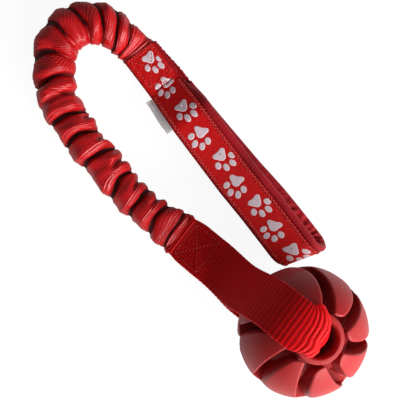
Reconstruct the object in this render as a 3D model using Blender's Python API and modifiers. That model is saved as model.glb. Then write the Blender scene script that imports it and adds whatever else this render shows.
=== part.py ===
"""Bungee tug toy: a lobed rubber ball on a webbing strap, a gathered sleeve over an elastic core, and a padded hand loop.

The model is built from the seam between the hand loop and the sleeve. The hand loop lies to one side of it, and the
sleeve, the sewn cuff, the strap and the ball follow each other on the other side. The toy lies on the plane z = 0.
"""

import math

import bmesh
import bpy
from mathutils import Matrix, Vector

# Fit between pieces
GAP = 0.0003
CUT_OVERRUN = 0.002
THREAD_HEIGHT = 0.0008

# Hand loop: webbing, printed ribbon outside, soft lining inside
HANDLE_HEADING = math.radians(-52.7)
HANDLE_LENGTH = 0.146
FOLD_SKEW_SHARE = 0.25
FOLD_SKEW_LENGTH = 0.030
TACK_LENGTH = 0.024
TACK_MARGIN = 0.002
WEBBING_WIDTH = 0.0225
WEBBING_THICKNESS = 0.0016
WEBBING_SHIFT = 0.0008
TACK_WIDTH_SHARE = 0.93
RIBBON_WIDTH = 0.020
RIBBON_THICKNESS = 0.0008
RIBBON_SHIFT = 0.0015
LINING_WIDTH = 0.0245
LINING_THICKNESS = 0.0022
LINING_START = 0.034
HAND_GAP = 0.0075
LOWER_LEG_SHIFT = 0.0045
LOOP_STEPS = 16

# Side tag on the hand loop
TAG_START = 0.0255
TAG_LENGTH = 0.0205
TAG_REACH = 0.0034
TAG_THICKNESS = 0.0009

# Box stitch on the hand loop's tack and on the strap's tack
STITCH_THREAD = 0.0010
STITCH_INSET = 0.0030

# Sleeve, its elastic core and its flat ends
SLEEVE_RADIUS = 0.011
SLEEVE_FOLDS = 16
SLEEVE_SIDES = 16
FOLD_DEPTH_SHARE = 0.2
FOLD_SHARPNESS = 0.6
FOLD_STEP_SHARES = (0.0, 0.12, 0.3, 0.5, 0.7, 0.88)
FOLD_SLANT = math.radians(14)
FLOOR_CUT = 0.0005
SLEEVE_TAIL_SHORTFALL = 0.057
SLEEVE_ARCS = (
    (0.018, math.radians(17)),
    (0.013, math.radians(37)),
    (0.036, math.radians(88)),
    (0.036, math.radians(37)),
    (HANDLE_LENGTH - SLEEVE_TAIL_SHORTFALL, math.radians(16)),
)
STATION_SHARES = (0.0, 0.08, 0.16, 0.27, 0.38, 0.55, 0.9, 1.0)
HALF_WIDTH_SHARES = (0.93, 0.95, 1.13, 1.1, 1.02, 0.95, 0.95, 1.15)
HALF_HEIGHT_SHARES = (0.41, 0.85, 1.0, 1.0, 1.0, 0.95, 0.93, 0.5)
BEND_FOLDS = (2, 5, 8)
CORE_RADIUS = 0.0045
CORE_CLEARANCE = 0.0006
CORE_START = 0.012
CORE_STEP = 0.004
UPPER_CUFF_WIDTH = 0.019
CUFF_THICKNESS = 0.003
CUFF_LENGTH = 0.020
CUFF_WIDTH = 0.022
CUFF_START_HEIGHT = 0.0105
CUFF_SLOPE = math.radians(18)
CUFF_CORNER = 0.0008

# Strap
STRAP_WIDTH = 0.026
STRAP_THICKNESS = 0.0014
STRAP_START = 0.0015
STRAP_FREE_REACH = 0.0262
STRAP_HEADING = math.radians(-37.8)
STRAP_SIDE_SHIFT = 0.0025
STRAP_COLUMNS = 8
STRAP_TOP_TOUCH = math.radians(54)
STRAP_BOTTOM_WRAP = math.radians(2)
STRAP_EASE_SHARE = 0.4
STRAP_BEND_RADIUS = 0.0035
STRAP_BORE_HALF_WIDTH = 0.008
STRAP_BORE_DEPTH = 0.0075
STRAP_BORE_EDGE = 0.004
LEG_STEPS = 8
WRAP_STEPS = 5
CROSS_STEPS = 4
TURN_STEPS = 4
BORE_STEPS = 4

# Ball
BALL_RADIUS = 0.035
BALL_TILT = math.radians(9.7)
BALL_TILT_HEADING = math.radians(7)
BORE_RADIUS = 0.010
RING_WIDTH = 0.0035
RING_GROOVE = 0.0008
RING_STEP = 0.0015
CORE_BALL_RADIUS = 0.024
SLOT_COUNT = 8
SLOT_WIDTH = 0.0065
SLOT_TWIST = math.radians(23.5)
SLOT_START = math.radians(5.5)
SLOT_STEPS = 10
TURN_SEGMENTS = 40
PROFILE_STEPS = 12

# Derived sizes
SLEEVE_LENGTH = sum(length for length, turn in SLEEVE_ARCS)
SLEEVE_START_HEADING = HANDLE_HEADING + math.pi
FOLD_LENGTH = SLEEVE_LENGTH / SLEEVE_FOLDS
LAYER_STEP = (WEBBING_THICKNESS + RIBBON_THICKNESS) / 2 + GAP
LINING_STEP = (WEBBING_THICKNESS + LINING_THICKNESS) / 2 + GAP
LOWER_LEG_HEIGHT = RIBBON_THICKNESS + GAP + WEBBING_THICKNESS / 2
TACK_HEIGHT = LOWER_LEG_HEIGHT + WEBBING_THICKNESS + CUFF_THICKNESS + 2 * GAP
FOLD_RADIUS = (HAND_GAP + LINING_THICKNESS) / 2 + LINING_STEP
UPPER_LEG_HEIGHT = LOWER_LEG_HEIGHT + 2 * FOLD_RADIUS
FOLD_START = HANDLE_LENGTH - FOLD_RADIUS - LAYER_STEP - RIBBON_THICKNESS / 2
UPPER_CUFF_HEIGHT = (LOWER_LEG_HEIGHT + TACK_HEIGHT) / 2
STRAP_STEP = (CUFF_THICKNESS + STRAP_THICKNESS) / 2 + GAP
STRAP_WRAP_RADIUS = BALL_RADIUS + GAP + STRAP_THICKNESS / 2
RING_MIDDLE = BORE_RADIUS + RING_WIDTH / 2
RING_OUTER = BORE_RADIUS + RING_WIDTH
RING_TOP = math.sqrt(BALL_RADIUS**2 - RING_MIDDLE**2) - RING_STEP
LOBE_START = math.asin((RING_OUTER + RING_GROOVE) / BALL_RADIUS)
BALL_HEIGHT = BALL_RADIUS * math.cos(max(LOBE_START - BALL_TILT, 0)) + GAP
HUB_CROSSING = STRAP_WRAP_RADIUS * math.cos(LOBE_START)
STRAP_RIM_ANGLE = math.asin(RING_OUTER / STRAP_WRAP_RADIUS)
STRAP_REACH = BALL_RADIUS + STRAP_FREE_REACH

UP = Vector((0, 0, 1))


def smooth(value):
    """0 below 0, 1 above 1, and an even rise between."""
    value = min(max(value, 0), 1)
    return value * value * (3 - 2 * value)


def collection(name):
    made = bpy.data.collections.new(name)
    bpy.context.scene.collection.children.link(made)
    return made


def material(name, color, roughness):
    made = bpy.data.materials.new(name)
    made.use_nodes = True
    shader = made.node_tree.nodes["Principled BSDF"]
    shader.inputs["Base Color"].default_value = (*color, 1)
    shader.inputs["Roughness"].default_value = roughness
    shader.inputs["Metallic"].default_value = 0
    return made


def place(mesh, name, finish, origin, group):
    """An object of a mesh made in the toy's own frame, with its origin at a point of that frame."""
    mesh.transform(Matrix.Translation(-origin))
    if finish:
        mesh.materials.append(finish)
    obj = bpy.data.objects.new(name, mesh)
    obj.location = origin
    group.objects.link(obj)
    return obj


def as_cutter(obj):
    obj.hide_render = True
    obj.display_type = "WIRE"
    return obj


def cut(obj, cutter):
    modifier = obj.modifiers.new(cutter.name, "BOOLEAN")
    modifier.operation = "DIFFERENCE"
    modifier.object = cutter


def grid_mesh(name, rows):
    """An open sheet through rows of points."""
    bm = bmesh.new()
    made = [[bm.verts.new(point) for point in row] for row in rows]
    for row, following in zip(made, made[1:]):
        for i in range(len(row) - 1):
            bm.faces.new((row[i], row[i + 1], following[i + 1], following[i]))
    mesh = bpy.data.meshes.new(name)
    bm.to_mesh(mesh)
    bm.free()
    return mesh


def loft_mesh(name, rings):
    """A closed solid through rings of points, with flat ends."""
    bm = bmesh.new()
    made = [[bm.verts.new(point) for point in ring] for ring in rings]
    for ring, following in zip(made, made[1:]):
        for i in range(len(ring)):
            j = (i + 1) % len(ring)
            bm.faces.new((ring[i], ring[j], following[j], following[i]))
    bm.faces.new(made[0][::-1])
    bm.faces.new(made[-1])
    bmesh.ops.recalc_face_normals(bm, faces=bm.faces)
    mesh = bpy.data.meshes.new(name)
    bm.to_mesh(mesh)
    bm.free()
    return mesh


def tube_mesh(name, points, radius):
    """A round solid tube along points, made by a beveled curve and welded at its caps."""
    curve = bpy.data.curves.new(name, "CURVE")
    curve.dimensions = "3D"
    curve.bevel_depth = radius
    curve.bevel_resolution = 4
    curve.use_fill_caps = True
    spline = curve.splines.new("POLY")
    spline.points.add(len(points) - 1)
    for target, point in zip(spline.points, points):
        target.co = (*point, 1)
    guide = bpy.data.objects.new(name, curve)
    bpy.context.scene.collection.objects.link(guide)
    bpy.context.view_layer.update()
    graph = bpy.context.evaluated_depsgraph_get()
    mesh = bpy.data.meshes.new_from_object(guide.evaluated_get(graph))
    bpy.data.objects.remove(guide)
    bpy.data.curves.remove(curve)
    bm = bmesh.new()
    bm.from_mesh(mesh)
    bmesh.ops.remove_doubles(bm, verts=bm.verts, dist=GAP / 10)
    bmesh.ops.recalc_face_normals(bm, faces=bm.faces)
    bm.to_mesh(mesh)
    bm.free()
    return mesh


def turned_mesh(name, profile):
    """A closed profile of (radius, height) points, run down its outer side, turned about Z by a Screw modifier."""
    bm = bmesh.new()
    points = [bm.verts.new((radius, 0, height)) for radius, height in profile]
    on_axis = profile[0][0] == 0
    for i in range(len(points) - 1):
        bm.edges.new((points[i], points[i + 1]))
    if not on_axis:
        bm.edges.new((points[-1], points[0]))
    outline = bpy.data.meshes.new(name)
    bm.to_mesh(outline)
    bm.free()
    guide = bpy.data.objects.new(name, outline)
    bpy.context.scene.collection.objects.link(guide)
    screw = guide.modifiers.new("turn", "SCREW")
    screw.steps = TURN_SEGMENTS
    screw.render_steps = TURN_SEGMENTS
    screw.use_merge_vertices = True
    screw.merge_threshold = 0.00001
    bpy.context.view_layer.update()
    graph = bpy.context.evaluated_depsgraph_get()
    mesh = bpy.data.meshes.new_from_object(guide.evaluated_get(graph))
    bpy.data.objects.remove(guide)
    bpy.data.meshes.remove(outline)
    return mesh


def thicken(obj, thickness):
    shell = obj.modifiers.new("thickness", "SOLIDIFY")
    shell.thickness = thickness
    shell.offset = 0
    shell.use_even_offset = True


def shade_smooth(obj, angle):
    obj.data.shade_smooth()
    obj.data.set_sharp_from_angle(angle=angle)


# Hand loop


def upper_leg_height(along):
    rise = smooth((along - TACK_LENGTH) / (LINING_START - TACK_LENGTH) / 2)
    return TACK_HEIGHT + (UPPER_LEG_HEIGHT - TACK_HEIGHT) * rise


def loop_stations():
    """(along, height, side shift, outward direction) of the webbing, from its lower end round the fold to its upper end."""
    lower = [(FOLD_START * i / LOOP_STEPS, LOWER_LEG_HEIGHT) for i in range(LOOP_STEPS)]
    fold = []
    for i in range(LOOP_STEPS):
        angle = math.pi * i / LOOP_STEPS
        along = FOLD_START + FOLD_RADIUS * math.sin(angle)
        fold.append((along, LOWER_LEG_HEIGHT + FOLD_RADIUS * (1 - math.cos(angle))))
    upper = []
    for i in range(2 * LOOP_STEPS + 1):
        along = FOLD_START * (1 - i / LOOP_STEPS / 2)
        upper.append((along, upper_leg_height(along)))
    path = lower + fold + upper
    stations = []
    for i, (along, height) in enumerate(path):
        before = path[max(i - 1, 0)]
        after = path[min(i + 1, len(path) - 1)]
        run = Vector((after[0] - before[0], after[1] - before[1])).normalized()
        if i < len(lower):
            shift = LOWER_LEG_SHIFT * smooth((along - TACK_LENGTH) / (FOLD_START - TACK_LENGTH))
        else:
            shift = LOWER_LEG_SHIFT * (1 - smooth((i - len(lower)) / len(fold)))
        stations.append((along, height, shift, Vector((run.y, -run.x))))
    return stations


def leg_width_share(along):
    """The hand loop is drawn in by its tack."""
    opened = smooth((along - TACK_LENGTH) / (LINING_START - TACK_LENGTH) / 2)
    return TACK_WIDTH_SHARE + (1 - TACK_WIDTH_SHARE) * opened


def loop_layer(name, outward, thickness, low_side, high_side, start, finish, frame, group):
    """One layer of the hand loop, this far outside the webbing's middle, from the start's place on each leg."""
    rows = []
    for along, height, shift, direction in loop_stations():
        if along < start:
            continue
        centre = Vector((along, height)) + direction * outward
        skew = FOLD_SKEW_SHARE * smooth((along - FOLD_START) / FOLD_SKEW_LENGTH + 1)
        row = []
        for side in (low_side, high_side):
            sideways = shift + side * leg_width_share(along)
            row.append(Vector((centre.x + skew * sideways, sideways, centre.y)))
        rows.append(row)
    layer = place(grid_mesh(name, rows), name, finish, Vector((0, 0, 0)), group)
    layer.parent = frame
    thicken(layer, thickness)
    return layer


def make_tag(finish, frame, group):
    """A folded tag sewn to the webbing's left edge on the upper leg."""
    edge = -WEBBING_SHIFT - WEBBING_WIDTH / 2 - GAP
    rows = []
    for i in range(LOOP_STEPS + 1):
        along = TAG_START + TAG_LENGTH * i / LOOP_STEPS
        height = upper_leg_height(along)
        rows.append(
            [Vector((along, edge - TAG_REACH, height)), Vector((along, edge, height))]
        )
    tag = place(grid_mesh("side_tag", rows), "side_tag", finish, Vector((0, 0, 0)), group)
    tag.parent = frame
    thicken(tag, TAG_THICKNESS)


def box_stitch(name, length, width, finish, group):
    """A crossed box of thread, as a flat outline with four three-sided holes, centred on its own origin."""
    curve = bpy.data.curves.new(name, "CURVE")
    curve.dimensions = "2D"
    curve.fill_mode = "BOTH"
    curve.extrude = THREAD_HEIGHT / 2
    half_length, half_width = length / 2, width / 2
    square = ((-1, -1), (1, -1), (1, 1), (-1, 1))
    outlines = [[Vector((x * half_length, y * half_width)) for x, y in square]]
    inner_length = half_length - STITCH_THREAD
    inner_width = half_width - STITCH_THREAD
    diagonal = math.hypot(length, width)
    side_tip = STITCH_THREAD * diagonal / width / 2
    end_tip = STITCH_THREAD * diagonal / length / 2
    for sign in (1, -1):
        base = sign * inner_width
        reach = (inner_width - end_tip) * length / width
        tip = Vector((0, sign * end_tip))
        outlines.append([tip, Vector((reach, base)), Vector((-reach, base))])
        base = sign * inner_length
        reach = (inner_length - side_tip) * width / length
        tip = Vector((sign * side_tip, 0))
        outlines.append([tip, Vector((base, reach)), Vector((base, -reach))])
    for outline in outlines:
        spline = curve.splines.new("POLY")
        spline.use_cyclic_u = True
        spline.points.add(len(outline) - 1)
        for target, point in zip(spline.points, outline):
            target.co = (point.x, point.y, 0, 1)
    curve.materials.append(finish)
    obj = bpy.data.objects.new(name, curve)
    group.objects.link(obj)
    return obj


def slab(name, length, width, thickness, finish, group):
    """A flat sewn end with soft edges, centred on its own origin."""
    bm = bmesh.new()
    bmesh.ops.create_cube(bm, size=1)
    bmesh.ops.scale(bm, vec=(length, width, thickness), verts=bm.verts)
    mesh = bpy.data.meshes.new(name)
    bm.to_mesh(mesh)
    bm.free()
    obj = place(mesh, name, finish, Vector((0, 0, 0)), group)
    soften = obj.modifiers.new("soft_edges", "BEVEL")
    soften.width = CUFF_CORNER
    soften.segments = 2
    return obj


def make_handle(finishes, frame, group):
    web_low = -WEBBING_SHIFT - WEBBING_WIDTH / 2
    ribbon_low = -RIBBON_SHIFT - RIBBON_WIDTH / 2
    half_lining = LINING_WIDTH / 2
    web = (web_low, web_low + WEBBING_WIDTH, 0)
    ribbon = (ribbon_low, ribbon_low + RIBBON_WIDTH, 0)
    lining = (-half_lining, half_lining, LINING_START)
    loop_layer("handle_webbing", 0, WEBBING_THICKNESS, *web, finishes["webbing"], frame, group)
    loop_layer(
        "paw_ribbon", LAYER_STEP, RIBBON_THICKNESS, *ribbon, finishes["ribbon"], frame, group
    )
    loop_layer(
        "handle_lining", -LINING_STEP, LINING_THICKNESS, *lining, finishes["lining"], frame, group
    )
    make_tag(finishes["tag"], frame, group)
    inside = TACK_LENGTH - 2 * TACK_MARGIN
    end = slab(
        "sleeve_upper_cuff", inside, UPPER_CUFF_WIDTH, CUFF_THICKNESS, finishes["sleeve"], group
    )
    end.location = (TACK_LENGTH / 2, 0, UPPER_CUFF_HEIGHT)
    end.parent = frame
    stitch_width = RIBBON_WIDTH * TACK_WIDTH_SHARE - STITCH_INSET
    stitch = box_stitch("handle_box_stitch", inside, stitch_width, finishes["thread"], group)
    top = TACK_HEIGHT + LAYER_STEP + RIBBON_THICKNESS / 2 + GAP + THREAD_HEIGHT / 2
    stitch.location = (TACK_LENGTH / 2, -RIBBON_SHIFT * TACK_WIDTH_SHARE, top)
    stitch.parent = frame


# Sleeve


def sleeve_plan(distance):
    """Plan point and heading of the sleeve's middle line, this far from the seam."""
    point = Vector((0, 0))
    heading = SLEEVE_START_HEADING
    for length, turn in SLEEVE_ARCS:
        step = min(distance, length)
        radius = length / turn
        after = heading + step / radius
        point.x += radius * (math.sin(after) - math.sin(heading))
        point.y += radius * (math.cos(heading) - math.cos(after))
        heading = after
        distance -= step
    point += Vector((math.cos(heading), math.sin(heading))) * distance
    return point, heading


def along_sleeve(distance, values):
    """A value at this distance from the seam, eased between the ones at STATION_SHARES."""
    share = distance / SLEEVE_LENGTH
    last = len(STATION_SHARES) - 1
    for i in range(last):
        low, high = STATION_SHARES[i], STATION_SHARES[i + 1]
        if share < high or i == last - 1:
            return values[i] + (values[i + 1] - values[i]) * smooth((share - low) / (high - low))


def sleeve_height(distance):
    """Height of the sleeve's middle line: on the floor, except at its two flat ends."""
    heights = [SLEEVE_RADIUS * share - FLOOR_CUT for share in HALF_HEIGHT_SHARES]
    heights[0] = UPPER_CUFF_HEIGHT
    heights[-1] = CUFF_START_HEIGHT
    return along_sleeve(distance, heights)


def sleeve_point(distance):
    point, _ = sleeve_plan(distance)
    return Vector((point.x, point.y, sleeve_height(distance)))


def sleeve_ring(distance):
    """The ring of points round the sleeve: drawn in at each crease, slanted, and flat where it meets the floor."""
    _, heading = sleeve_plan(distance)
    share = distance / SLEEVE_LENGTH
    crest = abs(math.sin(math.pi * distance / FOLD_LENGTH)) ** FOLD_SHARPNESS
    size = SLEEVE_RADIUS * (1 - FOLD_DEPTH_SHARE * (1 - crest))
    half_width = size * along_sleeve(distance, HALF_WIDTH_SHARES)
    half_height = size * along_sleeve(distance, HALF_HEIGHT_SHARES)
    slant = FOLD_SLANT * smooth(share * SLEEVE_FOLDS / 2) * smooth((1 - share) * SLEEVE_FOLDS / 2)
    side = Vector((-math.sin(heading - slant), math.cos(heading - slant), 0))
    centre = sleeve_point(distance)
    ring = []
    for i in range(SLEEVE_SIDES):
        angle = 2 * math.pi * (i + 0.5) / SLEEVE_SIDES
        point = centre + side * half_width * math.cos(angle) + UP * half_height * math.sin(angle)
        point.z = max(point.z, 0)
        ring.append(point)
    return ring


def core_points(start, end):
    """Points along the sleeve, with a short first and last step so that the tube's ends stand square to its line."""
    first, last = start + 2 * GAP, end - 2 * GAP
    count = max(2, round((last - first) / CORE_STEP))
    inner = [first + (last - first) * i / count for i in range(count + 1)]
    return [sleeve_point(distance) for distance in (start, *inner, end)]


def make_sleeve(finishes, group, cutters):
    """The gathered sleeve and the elastic core in it, parted at the creases where the toy is jointed."""
    folds = (0, *BEND_FOLDS, SLEEVE_FOLDS)
    for number in range(1, len(folds)):
        first, last = folds[number - 1], folds[number]
        distances = [first * FOLD_LENGTH + GAP / 2]
        for fold in range(first, last):
            for step in FOLD_STEP_SHARES:
                if fold > first or step > 0:
                    distances.append((fold + step) * FOLD_LENGTH)
        distances.append(last * FOLD_LENGTH - GAP / 2)
        origin = sleeve_point(first * FOLD_LENGTH)
        name = f"sleeve_{number}"
        rings = [sleeve_ring(distance) for distance in distances]
        sleeve = place(loft_mesh(name, rings), name, finishes["sleeve"], origin, group)
        shade_smooth(sleeve, math.radians(60))
        start = max(distances[0], CORE_START)
        end = min(distances[-1], SLEEVE_LENGTH - CORE_START)
        bore_start = start - (CUT_OVERRUN if first else GAP)
        bore_end = end + (CUT_OVERRUN if last < SLEEVE_FOLDS else GAP)
        bore = tube_mesh(
            name + "_bore", core_points(bore_start, bore_end), CORE_RADIUS + CORE_CLEARANCE
        )
        cut(sleeve, as_cutter(place(bore, name + "_bore", None, origin, cutters)))
        name = f"bungee_core_{number}"
        core = tube_mesh(name, core_points(start, end), CORE_RADIUS)
        shade_smooth(place(core, name, finishes["core"], origin, group), math.radians(60))


# Cuff and strap


def cuff_frame():
    """Start point, run direction, side direction and upward direction of the flat sewn cuff, clear of the sleeve's end."""
    point, heading = sleeve_plan(SLEEVE_LENGTH)
    flat = Vector((math.cos(heading), math.sin(heading), 0))
    run = flat * math.cos(CUFF_SLOPE) + UP * math.sin(CUFF_SLOPE)
    side = UP.cross(flat)
    start = Vector((point.x, point.y, CUFF_START_HEIGHT))
    lean = (CUFF_THICKNESS / 2 - CUFF_CORNER) * math.sin(CUFF_SLOPE)
    lean += CUFF_CORNER * (1 - math.cos(CUFF_SLOPE))
    return start + run * ((GAP + lean) / math.cos(CUFF_SLOPE)), run, side, run.cross(side)


def cuff_end():
    start, run, _, _ = cuff_frame()
    return start + run * CUFF_LENGTH


def ball_centre():
    end = cuff_end()
    reach = Vector((math.cos(STRAP_HEADING), math.sin(STRAP_HEADING))) * STRAP_REACH
    return Vector((end.x + reach.x, end.y + reach.y, BALL_HEIGHT))


def ball_frame():
    """Bore axis, the direction from the cuff across the ball, and the strap's side direction."""
    tilt = Vector((math.cos(BALL_TILT_HEADING), math.sin(BALL_TILT_HEADING), 0))
    axis = tilt * math.sin(BALL_TILT) + UP * math.cos(BALL_TILT)
    across = Vector((math.cos(STRAP_HEADING), math.sin(STRAP_HEADING), 0))
    across = (across - axis * across.dot(axis)).normalized()
    return axis, across, axis.cross(across)


def wrap_height(across, cap):
    return min(math.sqrt(STRAP_WRAP_RADIUS**2 - across**2), cap)


def strap_half(side_sign):
    """Rows of points across the strap, from the cuff to the middle of the bore, over the ball (1) or under it (-1)."""
    start, run, side, up = cuff_frame()
    axis, across, width = ball_frame()
    centre = ball_centre()
    touch = STRAP_TOP_TOUCH if side_sign > 0 else STRAP_RIM_ANGLE + STRAP_BOTTOM_WRAP
    cap = STRAP_WRAP_RADIUS if side_sign > 0 else HUB_CROSSING
    shares = [2 * i / STRAP_COLUMNS - 1 for i in range(STRAP_COLUMNS + 1)]
    half = STRAP_WIDTH / 2

    def on_ball(x, y, sideways):
        return centre + across * x + axis * (side_sign * y) + width * sideways

    rows = []
    level = up * (side_sign * STRAP_STEP)
    for distance in (STRAP_START, CUFF_LENGTH / 2):
        rows.append([start + run * distance + level + side * (half * q) for q in shares])
    leave = start + run * CUFF_LENGTH + level
    arrive = on_ball(
        -STRAP_WRAP_RADIUS * math.sin(touch),
        STRAP_WRAP_RADIUS * math.cos(touch),
        STRAP_SIDE_SHIFT,
    )
    tangent = across * math.cos(touch) + axis * (side_sign * math.sin(touch))
    ease = (arrive - leave).length * STRAP_EASE_SHARE
    for i in range(LEG_STEPS):
        t = i / LEG_STEPS
        middle = (
            leave * (1 - t) ** 3
            + (leave + run * ease) * (3 * t * (1 - t) ** 2)
            + (arrive - tangent * ease) * (3 * t * t * (1 - t))
            + arrive * t**3
        )
        lateral = side.lerp(width, smooth(t)).normalized()
        rows.append([middle + lateral * (half * q) for q in shares])
    rim = -RING_OUTER
    for i in range(WRAP_STEPS):
        angle = touch + (STRAP_RIM_ANGLE - touch) * i / WRAP_STEPS
        x, y = STRAP_WRAP_RADIUS * math.sin(angle), STRAP_WRAP_RADIUS * math.cos(angle)
        rows.append([on_ball(-x, y, half * q + STRAP_SIDE_SHIFT) for q in shares])
    drops = []
    for q in shares:
        angle = q * math.pi / 2
        drop = STRAP_BORE_DEPTH * math.cos(angle) - STRAP_BORE_EDGE
        drops.append((q, drop, STRAP_BORE_HALF_WIDTH * math.sin(angle)))
    for i in range(CROSS_STEPS):
        t = i / CROSS_STEPS
        row = []
        for q, drop, sideways in drops:
            x = rim + (drop - STRAP_BEND_RADIUS - rim) * t
            open_side = half * q + STRAP_SIDE_SHIFT
            row.append(on_ball(x, wrap_height(x, cap), open_side + (sideways - open_side) * smooth(t)))
        rows.append(row)
    for i in range(TURN_STEPS):
        angle = math.pi / 2 * i / TURN_STEPS
        row = []
        for q, drop, sideways in drops:
            bend_x = drop - STRAP_BEND_RADIUS
            bend_y = wrap_height(bend_x, cap) - STRAP_BEND_RADIUS
            x = bend_x + STRAP_BEND_RADIUS * math.sin(angle)
            y = bend_y + STRAP_BEND_RADIUS * math.cos(angle)
            row.append(on_ball(x, y, sideways))
        rows.append(row)
    for i in range(BORE_STEPS):
        row = []
        for q, drop, sideways in drops:
            top = wrap_height(drop - STRAP_BEND_RADIUS, cap) - STRAP_BEND_RADIUS
            row.append(on_ball(drop, top * (1 - i / BORE_STEPS), sideways))
        rows.append(row)
    rows.append([on_ball(drop, 0, sideways) for q, drop, sideways in drops])
    return rows


def make_strap(finishes, group):
    start, run, side, up = cuff_frame()
    turn = Matrix((run, side, up)).transposed()
    cuff = slab(
        "sleeve_lower_cuff", CUFF_LENGTH, CUFF_WIDTH, CUFF_THICKNESS, finishes["sleeve"], group
    )
    cuff.location = start + run * (CUFF_LENGTH / 2)
    cuff.rotation_euler = turn.to_euler()
    inside = CUFF_LENGTH - STRAP_START - TACK_MARGIN
    stitch = box_stitch(
        "strap_box_stitch", inside, CUFF_WIDTH - STITCH_INSET, finishes["thread"], group
    )
    lift = STRAP_STEP + STRAP_THICKNESS / 2 + GAP + THREAD_HEIGHT / 2
    stitch.location = start + run * (STRAP_START + inside / 2) + up * lift
    stitch.rotation_euler = turn.to_euler()
    rows = strap_half(1) + strap_half(-1)[-2::-1]
    strap = place(grid_mesh("ball_strap", rows), "ball_strap", finishes["strap"], cuff_end(), group)
    thicken(strap, STRAP_THICKNESS)
    shade_smooth(strap, math.radians(50))


# Ball


def ball_profile():
    """Half section of the ball without its slots: bore, rounded hub rings and outer curve."""
    upper = []
    lip = RING_WIDTH / 2
    for i in range(PROFILE_STEPS // 3 + 1):
        angle = math.pi * (1 - i / (PROFILE_STEPS // 3))
        upper.append((RING_MIDDLE + lip * math.cos(angle), RING_TOP - lip * (1 - math.sin(angle))))
    for i in range(PROFILE_STEPS):
        angle = LOBE_START + (math.pi / 2 - LOBE_START) * i / PROFILE_STEPS
        upper.append((BALL_RADIUS * math.sin(angle), BALL_RADIUS * math.cos(angle)))
    lower = [(radius, -height) for radius, height in reversed(upper)]
    return upper + [(BALL_RADIUS, 0)] + lower


def core_profile():
    """Half section of what the slots leave: a core ball, and a post out to each hub ring."""
    upper = [(0, BALL_RADIUS + CUT_OVERRUN), (RING_OUTER, BALL_RADIUS + CUT_OVERRUN)]
    start = math.asin(RING_OUTER / CORE_BALL_RADIUS)
    for i in range(PROFILE_STEPS // 2):
        angle = start + (math.pi / 2 - start) * i * 2 / PROFILE_STEPS
        upper.append((CORE_BALL_RADIUS * math.sin(angle), CORE_BALL_RADIUS * math.cos(angle)))
    lower = [(radius, -height) for radius, height in reversed(upper)]
    return upper + [(CORE_BALL_RADIUS, 0)] + lower


def slot_mesh():
    """Slabs that stand round the bore axis and twist evenly along it, in flat faces so that they cut cleanly."""
    bm = bmesh.new()
    inner = BORE_RADIUS + RING_WIDTH / 2
    outer = BALL_RADIUS + CUT_OVERRUN
    for number in range(SLOT_COUNT):
        made = bmesh.ops.create_cube(bm, size=1)["verts"]
        bmesh.ops.scale(bm, vec=(outer - inner, SLOT_WIDTH, 2 * outer), verts=made)
        bmesh.ops.translate(bm, vec=((outer + inner) / 2, 0, 0), verts=made)
        turn = Matrix.Rotation(SLOT_START + 2 * math.pi * number / SLOT_COUNT, 3, "Z")
        bmesh.ops.rotate(bm, cent=(0, 0, 0), matrix=turn, verts=made)
    for step in range(1, SLOT_STEPS):
        height = outer * (2 * step / SLOT_STEPS - 1)
        every = bm.verts[:] + bm.edges[:] + bm.faces[:]
        bmesh.ops.bisect_plane(bm, geom=every, plane_co=(0, 0, height), plane_no=UP)
    for vert in bm.verts:
        twist = -SLOT_TWIST * vert.co.z / BALL_RADIUS
        vert.co = Matrix.Rotation(twist, 3, "Z") @ vert.co
    bmesh.ops.triangulate(bm, faces=bm.faces)
    mesh = bpy.data.meshes.new("ball_slots")
    bm.to_mesh(mesh)
    bm.free()
    return mesh


def make_ball(finishes, group, cutters):
    frame = bpy.data.objects.new("ball_axis", None)
    group.objects.link(frame)
    frame.location = ball_centre()
    axis, _, _ = ball_frame()
    frame.rotation_euler = UP.rotation_difference(axis).to_euler()
    origin = Vector((0, 0, 0))
    ball = place(turned_mesh("ball", ball_profile()), "ball", finishes["ball"], origin, group)
    core = place(turned_mesh("ball_core", core_profile()), "ball_core", None, origin, cutters)
    slots = place(slot_mesh(), "ball_slots", None, origin, cutters)
    cut(slots, as_cutter(core))
    cut(ball, as_cutter(slots))
    for obj in (ball, core, slots):
        obj.parent = frame
    shade_smooth(ball, math.radians(35))
    return frame


def stand_on_floor(root, group):
    """Moves the whole toy so that its box stands on z = 0, centred over the origin."""
    bpy.context.view_layer.update()
    graph = bpy.context.evaluated_depsgraph_get()
    corners = []
    for obj in group.objects:
        if obj.type != "EMPTY":
            evaluated = obj.evaluated_get(graph)
            mesh = evaluated.to_mesh()
            corners += [evaluated.matrix_world @ vert.co for vert in mesh.vertices]
            evaluated.to_mesh_clear()
    low = Vector([min(corner[i] for corner in corners) for i in range(3)])
    high = Vector([max(corner[i] for corner in corners) for i in range(3)])
    root.location = (-(low.x + high.x) / 2, -(low.y + high.y) / 2, -low.z)


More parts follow.
